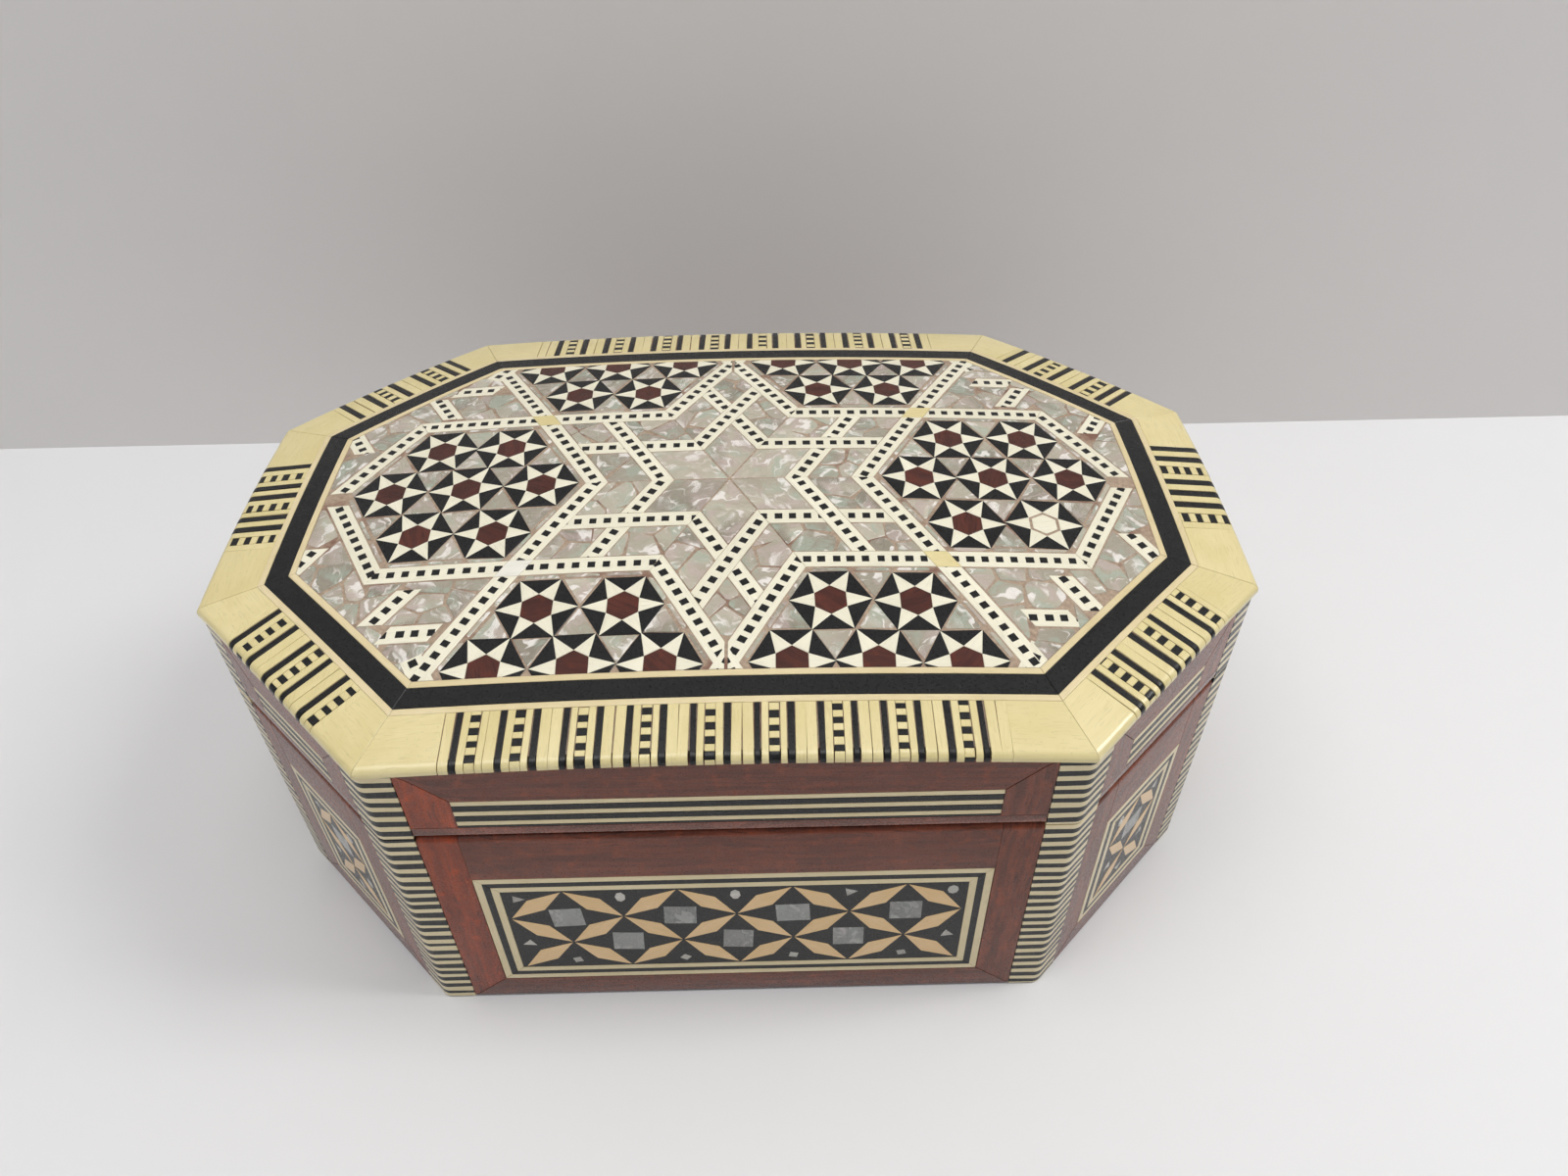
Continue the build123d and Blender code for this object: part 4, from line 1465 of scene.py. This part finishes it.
def build_polish(tree, work, given, result):
    """Hand-laid lacquer: slow ripple, fine scratches and pinholes as a height, and a roughness mask."""
    place = work.add("TexCoord").outputs["Object"]
    scaled = work.add("VectorMath", {0: place, "Scale": 1000.0}, operation="SCALE").outputs[0]
    ripple = work.noise(scaled, 0.32, 2.0, 0.5)
    fine = work.noise(scaled, 2.6, 3.0, 0.6)
    pits = work.add("TexVoronoi", {"Vector": scaled, "Scale": 1.4}, feature="F1").outputs["Distance"]
    pit_mask = work.between(pits, 0.13, 0.04)
    height = work.math("ADD", work.math("MULTIPLY", ripple, 1.6), work.math("MULTIPLY", fine, 0.16))
    height = work.math("SUBTRACT", height, work.math("MULTIPLY", pit_mask, 0.35))
    tree.links.new(work.math("MULTIPLY", height, given["Depth"]), result["Height"])
    tree.links.new(work.between(fine, 0.3, 0.75), result["Dull"])


def build_lustre(tree, work, given, result):
    """Pearl: banded growth lines that drift between grey, rose and green, different in each piece, and a mask of
    painted highlights.
    """
    flow = work.add("UVMap", uv_map="grain").outputs[0]
    tone = work.group("piece tone")
    warp = work.noise(work.stretched(flow, 0.22, 0.3), 1.0, 2.0)
    lifted = work.add("CombineXYZ", {"X": work.math("MULTIPLY", warp, 5.0), "Y": work.math("MULTIPLY", warp, 7.0),
                                     "Z": work.math("MULTIPLY", tone["Value"], 50.0)}).outputs[0]
    warped = work.add("VectorMath", {0: flow, 1: lifted}, operation="ADD").outputs[0]
    bands = work.noise(work.stretched(warped, 0.18, 0.75), 1.0, 4.0, 0.6, 0.4)
    clouds = work.noise(work.stretched(warped, 0.2, 0.26), 1.0, 2.0, 0.5)
    # Mask of painted highlights: near-white specks that are later mixed into the pearl's base colour.
    glints = work.noise(work.stretched(warped, 0.33, 0.5), 1.0, 1.0, 0.4, 0.8)
    tree.links.new(work.between(bands, 0.3, 0.7), result["Bands"])
    tree.links.new(work.between(clouds, 0.52, 0.64), result["Rose"])
    tree.links.new(work.between(clouds, 0.47, 0.36), result["Green"])
    tree.links.new(work.between(glints, 0.57, 0.68), result["Glint"])
    tree.links.new(work.math("MULTIPLY", bands, 1.0), result["Height"])


EFFECTS = {
    "piece tone": (build_piece_tone, {}, {"Value": "Float", "Colour": "Color"}),
    "grain": (build_grain, {"Density": ("Float", 1.0)}, {"Streaks": "Float", "Pores": "Float", "Height": "Float"}),
    "grime": (build_grime, {}, {"Patches": "Float", "Blots": "Float", "Specks": "Float"}),
    "polish": (build_polish, {"Depth": ("Float", 1.0)}, {"Height": "Float", "Dull": "Float"}),
    "lustre": (build_lustre, {},
               {"Bands": "Float", "Rose": "Float", "Green": "Float", "Glint": "Float", "Height": "Float"}),
}


def effect_named(name):
    """A shared node group, built the first time it is asked for."""
    if name not in bpy.data.node_groups:
        build, inputs, outputs = EFFECTS[name]
        tree = bpy.data.node_groups.new(name, "ShaderNodeTree")
        for socket, (kind, default) in inputs.items():
            tree.interface.new_socket(socket, in_out="INPUT", socket_type="NodeSocket" + kind).default_value = default
        for socket, kind in outputs.items():
            tree.interface.new_socket(socket, in_out="OUTPUT", socket_type="NodeSocket" + kind)
        given, result = tree.nodes.new("NodeGroupInput").outputs, tree.nodes.new("NodeGroupOutput").inputs
        build(tree, Tree(tree), given, result)
    return bpy.data.node_groups[name]


# ---------------------------------------------------------------- finishes

def shade(colour, value=1.0, saturation=1.0):
    """A finish's colour made lighter, darker, or duller, as a socket value."""
    grey = sum(colour) / 3
    return [max(0.0, min(1.0, (grey + (part - grey) * saturation) * value)) for part in colour] + [1.0]


def surface(work, base, roughness, height=None, bump=0.1, normal_distance=0.0001, **plain):
    """The Principled shader of a finish, with a bump from a height and plain values on its own sockets."""
    inputs = {"Base Color": base, "Roughness": roughness}
    if height is not None:
        inputs["Normal"] = work.add("Bump", {"Strength": bump, "Distance": normal_distance,
                                             "Height": height}).outputs[0]
    shader = work.add("BsdfPrincipled", inputs)
    for name, value in plain.items():
        shader.inputs[name.replace("_", " ").title().replace("Ior", "IOR")].default_value = value
    output = work.tree.nodes.new("ShaderNodeOutputMaterial")
    work.tree.links.new(shader.outputs[0], output.inputs["Surface"])
    return shader


def make_bone(work, colour, spread, stain, coat=0.5):
    """Bone: fine fibres and dark pores along the piece, yellow or grey patches, scratches under lacquer."""
    tone, grain, grime = work.group("piece tone"), work.group("grain", {"Density": 1.3}), work.group("grime")
    polish = work.group("polish", {"Depth": 1.0})
    base = work.mix(work.math("MULTIPLY", tone["Value"], spread), shade(colour, 1.06), shade(colour, 0.8, 1.25))
    base = work.tinted(base, grain["Streaks"], 0.3, shade(colour, 0.86, 1.2))
    base = work.tinted(base, grain["Pores"], 0.24, shade(colour, 0.55, 1.2))
    base = work.tinted(base, grime["Patches"], stain, shade(colour, 0.72, 1.5))
    base = work.tinted(base, grime["Specks"], 0.5 * stain, (0.12, 0.07, 0.03, 1))
    height = work.math("ADD", polish["Height"], work.math("MULTIPLY", grain["Height"], 0.25))
    surface(work, base, work.between(polish["Dull"], 0.0, 1.0, 0.28, 0.46), height, 0.35, coat_weight=coat,
            coat_roughness=0.12)


def make_black(work, colour):
    """Black inlay: near black with faint dusty fibres and a soft polish."""
    grain, grime = work.group("grain", {"Density": 1.6}), work.group("grime")
    polish = work.group("polish", {"Depth": 1.0})
    tone = work.group("piece tone")
    base = work.mix(work.math("MULTIPLY", tone["Value"], 0.7), shade(colour, 0.7), shade(colour, 1.6))
    base = work.tinted(base, grain["Streaks"], 0.3, shade(colour, 2.0))
    base = work.tinted(base, grime["Blots"], 0.1, (0.03, 0.026, 0.022, 1))
    surface(work, base, work.between(polish["Dull"], 0.0, 1.0, 0.26, 0.5), polish["Height"], 0.3, coat_weight=0.15,
            coat_roughness=0.14,
            specular_ior_level=0.3)


def make_wood(work, colour, gloss, figure=1.0):
    """Veneer: dark and light streaks, short pores, patches where the stain is thin, uneven lacquer."""
    tone, grain, grime = work.group("piece tone"), work.group("grain", {"Density": 1.0}), work.group("grime")
    polish = work.group("polish", {"Depth": 1.3})
    base = work.mix(tone["Value"], shade(colour, 1.15), shade(colour, 0.8))
    base = work.tinted(base, grain["Streaks"], 0.9 * figure, shade(colour, 0.36, 1.1))
    base = work.tinted(base, grime["Blots"], 0.4, shade(colour, 1.7, 1.1))
    base = work.tinted(base, grime["Patches"], 0.4, shade(colour, 0.5, 1.1))
    base = work.tinted(base, grain["Pores"], 0.7, shade(colour, 0.2))
    height = work.math("ADD", polish["Height"], work.math("MULTIPLY", grain["Height"], 0.4))
    surface(work, base, work.between(polish["Dull"], 0.0, 1.0, gloss, gloss + 0.2), height, 0.3, coat_weight=0.3,
            coat_roughness=0.12,
            specular_ior_level=0.3)


def make_pearl(work, colour, play=1.0):
    """Mother of pearl: banded lustre with rose and green lights, and small painted highlights mixed into the base
    colour.
    """
    tone, lustre, polish = work.group("piece tone"), work.group("lustre"), work.group("polish", {"Depth": 0.8})
    base = work.mix(tone["Value"], shade(colour, 1.35, 0.9), shade(colour, 0.52, 1.0))
    base = work.tinted(base, lustre["Bands"], 0.5, shade(colour, 0.62, 1.3))
    base = work.tinted(base, lustre["Rose"], 0.5 * play, (0.52, 0.4, 0.38, 1))
    base = work.tinted(base, lustre["Green"], 0.5 * play, (0.36, 0.45, 0.36, 1))
    # Painted highlight: near-white mixed into the base colour wherever the mask is high.
    base = work.tinted(base, lustre["Glint"], 0.75 * play, (0.92, 0.88, 0.84, 1))
    height = work.math("ADD", polish["Height"], work.math("MULTIPLY", lustre["Height"], 2.2))
    surface(work, base, work.between(lustre["Bands"], 0.0, 1.0, 0.16, 0.38), height, 0.4, coat_weight=0.6,
            coat_roughness=0.08,
            thin_film_thickness=330.0, thin_film_ior=1.5)


def make_paste(work, colour, second):
    """Filler: granular, pitted, browner where glue has come through."""
    grime, polish = work.group("grime"), work.group("polish", {"Depth": 2.2})
    place = work.millimetres()
    crumbs = work.noise(place, 1.7, 5.0, 0.7)
    stain = work.noise(place, 0.16, 3.0, 0.6)
    base = work.mix(work.between(crumbs, 0.3, 0.7), shade(colour, 1.1), shade(colour, 0.68))
    base = work.mix(work.math("MULTIPLY", work.between(stain, 0.5, 0.72), 0.8), base, shade(second, 1.0))
    base = work.tinted(base, grime["Specks"], 0.5, shade(colour, 0.3))
    height = work.math("ADD", polish["Height"], work.math("MULTIPLY", crumbs, 1.4))
    surface(work, base, 0.62, height, 0.5, coat_weight=0.25, coat_roughness=0.3)


def make_cloth(work, colour, pile, sheen):
    """Velvet or felt: short pile brushed in soft patches."""
    place = work.millimetres()
    fibres = work.noise(place, pile, 4.0, 0.7)
    brushed = work.noise(place, 0.09, 3.0, 0.6, 0.6)
    base = work.mix(work.between(brushed, 0.35, 0.65), shade(colour, 0.72), shade(colour, 1.25))
    base = work.tinted(base, fibres, 0.5, shade(colour, 0.45))
    surface(work, base, 0.92, fibres, 0.6, 0.0002, sheen_weight=sheen, sheen_roughness=0.35, specular_ior_level=0.15)


def make_brass(work, colour):
    """Small brass fittings: brushed, tarnished in noise patches and specks."""
    grime, polish = work.group("grime"), work.group("polish", {"Depth": 1.0})
    place = work.millimetres()
    brushed = work.noise(work.stretched(place, 0.5, 9.0, 9.0), 1.0, 3.0, 0.6)
    base = work.mix(work.math("MULTIPLY", grime["Patches"], 0.6), shade(colour), shade(colour, 0.5, 0.8))
    base = work.tinted(base, grime["Specks"], 0.5, shade(colour, 0.2))
    surface(work, base, work.between(brushed, 0.3, 0.7, 0.26, 0.46), work.math("ADD", brushed, polish["Height"]),
            0.25, metallic=1.0)


def make_carcase(work, colour):
    """Solid stained wood on object coordinates, for the frame's own boards and walls."""
    place = work.millimetres()
    grime = work.group("grime")
    rings = work.noise(work.stretched(place, 0.03, 0.5, 0.5), 1.0, 5.0, 0.62, 0.3)
    pores = work.noise(work.stretched(place, 0.3, 4.5, 4.5), 1.0, 2.0, 0.5)
    base = work.mix(work.between(rings, 0.35, 0.65), shade(colour, 1.25), shade(colour, 0.6))
    base = work.mix(work.math("MULTIPLY", work.between(pores, 0.56, 0.68), 0.6), base, shade(colour, 0.3))
    base = work.tinted(base, grime["Patches"], 0.3, shade(colour, 0.7))
    surface(work, base, 0.5, work.math("SUBTRACT", rings, pores), 0.3, coat_weight=0.2, coat_roughness=0.3)


def make_plain_stage(work, colour):
    """Pale board for the floor and wall: hardly mottled, matt, and clear from behind."""
    place = work.add("TexCoord").outputs["Object"]
    mottle = work.noise(place, 9.0, 4.0, 0.6)
    base = work.mix(mottle, shade(colour, 0.98), shade(colour, 1.02))
    board = surface(work, base, 0.55, work.noise(place, 400.0, 3.0, 0.6), 0.05, specular_ior_level=0.3)
    clear = work.add("BsdfTransparent").outputs[0]
    behind = work.add("NewGeometry").outputs["Backfacing"]
    mixed = work.add("MixShader", {0: behind, 1: board.outputs[0], 2: clear}).outputs[0]
    work.tree.links.new(mixed, work.tree.nodes["Material Output"].inputs["Surface"])


def finish_recipes():
    """Each finish's name with the function and values that make it."""
    c = bpy.context.scene.box_finishes
    return {
        "strap bone": (make_bone, c.strap_bone, 0.35, 0.18),
        "white bone": (make_bone, shade(c.strap_bone, 1.0, 0.55)[:3], 0.2, 0.1),
        "border bone": (make_bone, c.border_bone, 0.5, 0.3),
        "line bone": (make_bone, c.line_bone, 0.45, 0.3),
        "side bone": (make_bone, c.side_bone, 0.4, 0.25),
        "black": (make_black, c.black),
        "core wood": (make_wood, c.core_wood, 0.3, 0.8),
        "rosewood": (make_wood, c.rosewood, 0.26),
        "orange wood": (make_wood, c.orange_wood, 0.2),
        # Rosewood painted lighter and duller: a painted reflection for the lid's bottom rail.
        "rubbed wood": (make_wood, shade(c.rosewood, 1.25, 0.8)[:3], 0.18),
        "pearl": (make_pearl, c.pearl),
        "grey pearl": (make_pearl, c.pearl_grey, 0.25),
        "pale pearl": (make_pearl, shade(c.pearl, 1.2, 0.5)[:3], 0.3),
        "paste": (make_paste, c.paste, c.glue),
        "glue": (make_paste, shade(c.paste, 0.75)[:3], c.glue),
        "velvet": (make_cloth, c.velvet, 5.0, 0.8),
        "felt": (make_cloth, c.felt, 3.0, 0.3),
        "brass": (make_brass, c.brass),
        "carcase": (make_carcase, c.carcase),
        "stage floor": (make_plain_stage, c.floor),
        "stage wall": (make_plain_stage, c.wall),
    }


def finish_named(name):
    """A finish, made the first time it is asked for."""
    full_name = "finish " + name
    if full_name not in bpy.data.materials:
        recipe, *values = finish_recipes()[name]
        material = bpy.data.materials.new(full_name)
        material.use_nodes = True
        material.node_tree.nodes.clear()
        recipe(Tree(material.node_tree), *values)
    return bpy.data.materials[full_name]


# ---------------------------------------------------------------- the frame's own parts, stage and panel

KEPT_FINISHES = {
    "carcase": ("base_board", "lid_board", "body_wall_", "lid_wall_"),
    "felt": ("base_felt",),
    "brass": ("lower_hinge", "upper_hinge", "hinge_pin"),
}


class BOX_OT_kept_parts(bpy.types.Operator):
    """Finishes for the boards, walls, felt and hinges that stay as the frame has them"""
    bl_idname = "trinket_box.kept_parts"
    bl_label = "Boards, walls and hinges"

    def execute(self, context):
        for name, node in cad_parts.items():
            for finish, beginnings in KEPT_FINISHES.items():
                if name.startswith(beginnings) and not name.endswith("lining"):
                    node.data.materials.clear()
                    node.data.materials.append(finish_named(finish))
        return {"FINISHED"}


class StageSizes(bpy.types.PropertyGroup):
    """Floor, wall, lights and camera."""
    wall_distance: size("Wall distance", "How far behind the middle of the box the wall stands", 112.0)
    reach: size("Reach", "Half width of the floor", 1400.0)
    lens: FloatProperty(name="Lens", description="Focal length in millimetres", default=26.55, min=1.0)


CAMERA_PLACE = (0.00790, -0.15649, 0.19109)
CAMERA_TURN = (46.892, 0.730, -1.064)
LIGHTS = (
    ("window", (0.75, 0.05, 0.95), 0.5, 8.5, (1.0, 0.99, 0.97)),
    ("ceiling", (-0.2, 0.0, 1.3), 1.1, 12.5, (1.0, 0.99, 0.97)),
    ("fill", (-0.6, -0.9, 0.5), 0.9, 1.0, (0.95, 0.97, 1.0)),
)


class BOX_OT_stage(bpy.types.Operator):
    """Pale floor and wall, soft lights and the camera"""
    bl_idname = "trinket_box.stage"
    bl_label = "Stage, lights and camera"

    def execute(self, context):
        stage = context.scene.box_stage
        for name, matrix, finish in (
            ("stage_floor", Matrix.Identity(4), "stage floor"),
            ("stage_wall", Matrix.Translation((0, stage.wall_distance, 0)) @ Matrix.Rotation(math.pi / 2, 4, "X"),
             "stage wall"),
        ):
            bm = bmesh.new()
            bmesh.ops.create_grid(bm, x_segments=4, y_segments=4, size=stage.reach, matrix=matrix)
            mesh = bpy.data.meshes.new(name)
            bm.to_mesh(mesh)
            bm.free()
            mesh.materials.append(finish_named(finish))
            board = bpy.data.objects.new(name, mesh)
            context.scene.collection.objects.link(board)
        for name, place, side, power, tint in LIGHTS:
            lamp = bpy.data.lights.new(name, "AREA")
            lamp.shape, lamp.size, lamp.energy, lamp.color = "SQUARE", side, power, tint
            light = bpy.data.objects.new(name, lamp)
            light.location = place
            light.rotation_euler = (Vector((0, 0, 0.03)) - Vector(place)).to_track_quat("-Z", "Y").to_euler()
            context.scene.collection.objects.link(light)
        world = bpy.data.worlds.new("studio")
        world.use_nodes = True
        world.node_tree.nodes["Background"].inputs[0].default_value = (0.93, 0.95, 1.0, 1)
        world.node_tree.nodes["Background"].inputs[1].default_value = 0.3
        context.scene.world = world
        lens = bpy.data.cameras.new("camera")
        lens.lens, lens.sensor_width, lens.clip_start = stage.lens, 36.0, 0.005
        camera = bpy.data.objects.new("camera", lens)
        camera.location = CAMERA_PLACE
        camera.rotation_euler = [math.radians(turn) for turn in CAMERA_TURN]
        context.scene.collection.objects.link(camera)
        context.scene.camera = camera
        context.scene.view_settings.view_transform = "Standard"
        return {"FINISHED"}


GROUPS = {
    "crown": CrownSizes, "field": FieldSizes, "border": BorderSizes, "side": SideSizes, "lining": LiningSizes,
    "finishes": Finishes, "stage": StageSizes,
}
OPERATORS = (
    BOX_OT_stage, BOX_OT_kept_parts, BOX_OT_lid_lines, BOX_OT_border_plates, BOX_OT_border_blocks, BOX_OT_field_bed,
    BOX_OT_straps, BOX_OT_rosettes, BOX_OT_pearl, BOX_OT_woodwork, BOX_OT_side_lines, BOX_OT_tablets,
    BOX_OT_corner_strips, BOX_OT_linings,
)


class BOX_PT_panel(bpy.types.Panel):
    """Lists the pieces of the box"""
    bl_idname = "BOX_PT_panel"
    bl_label = "Trinket Box"
    bl_space_type = "VIEW_3D"
    bl_region_type = "UI"
    bl_category = "Trinket Box"

    def draw(self, context):
        for operator in OPERATORS:
            self.layout.operator(operator.bl_idname)


def register():
    for made in (*GROUPS.values(), *OPERATORS, BOX_PT_panel):
        bpy.utils.register_class(made)
    for name, group in GROUPS.items():
        setattr(bpy.types.Scene, "box_" + name, PointerProperty(type=group))


def unregister():
    for name in GROUPS:
        delattr(bpy.types.Scene, "box_" + name)
    for made in (BOX_PT_panel, *reversed(OPERATORS), *GROUPS.values()):
        bpy.utils.unregister_class(made)


def main():
    """Builds every piece in order."""
    register()
    for operator in OPERATORS:
        group, name = operator.bl_idname.split(".")
        getattr(getattr(bpy.ops, group), name)()


if __name__ == "__main__":
    main()
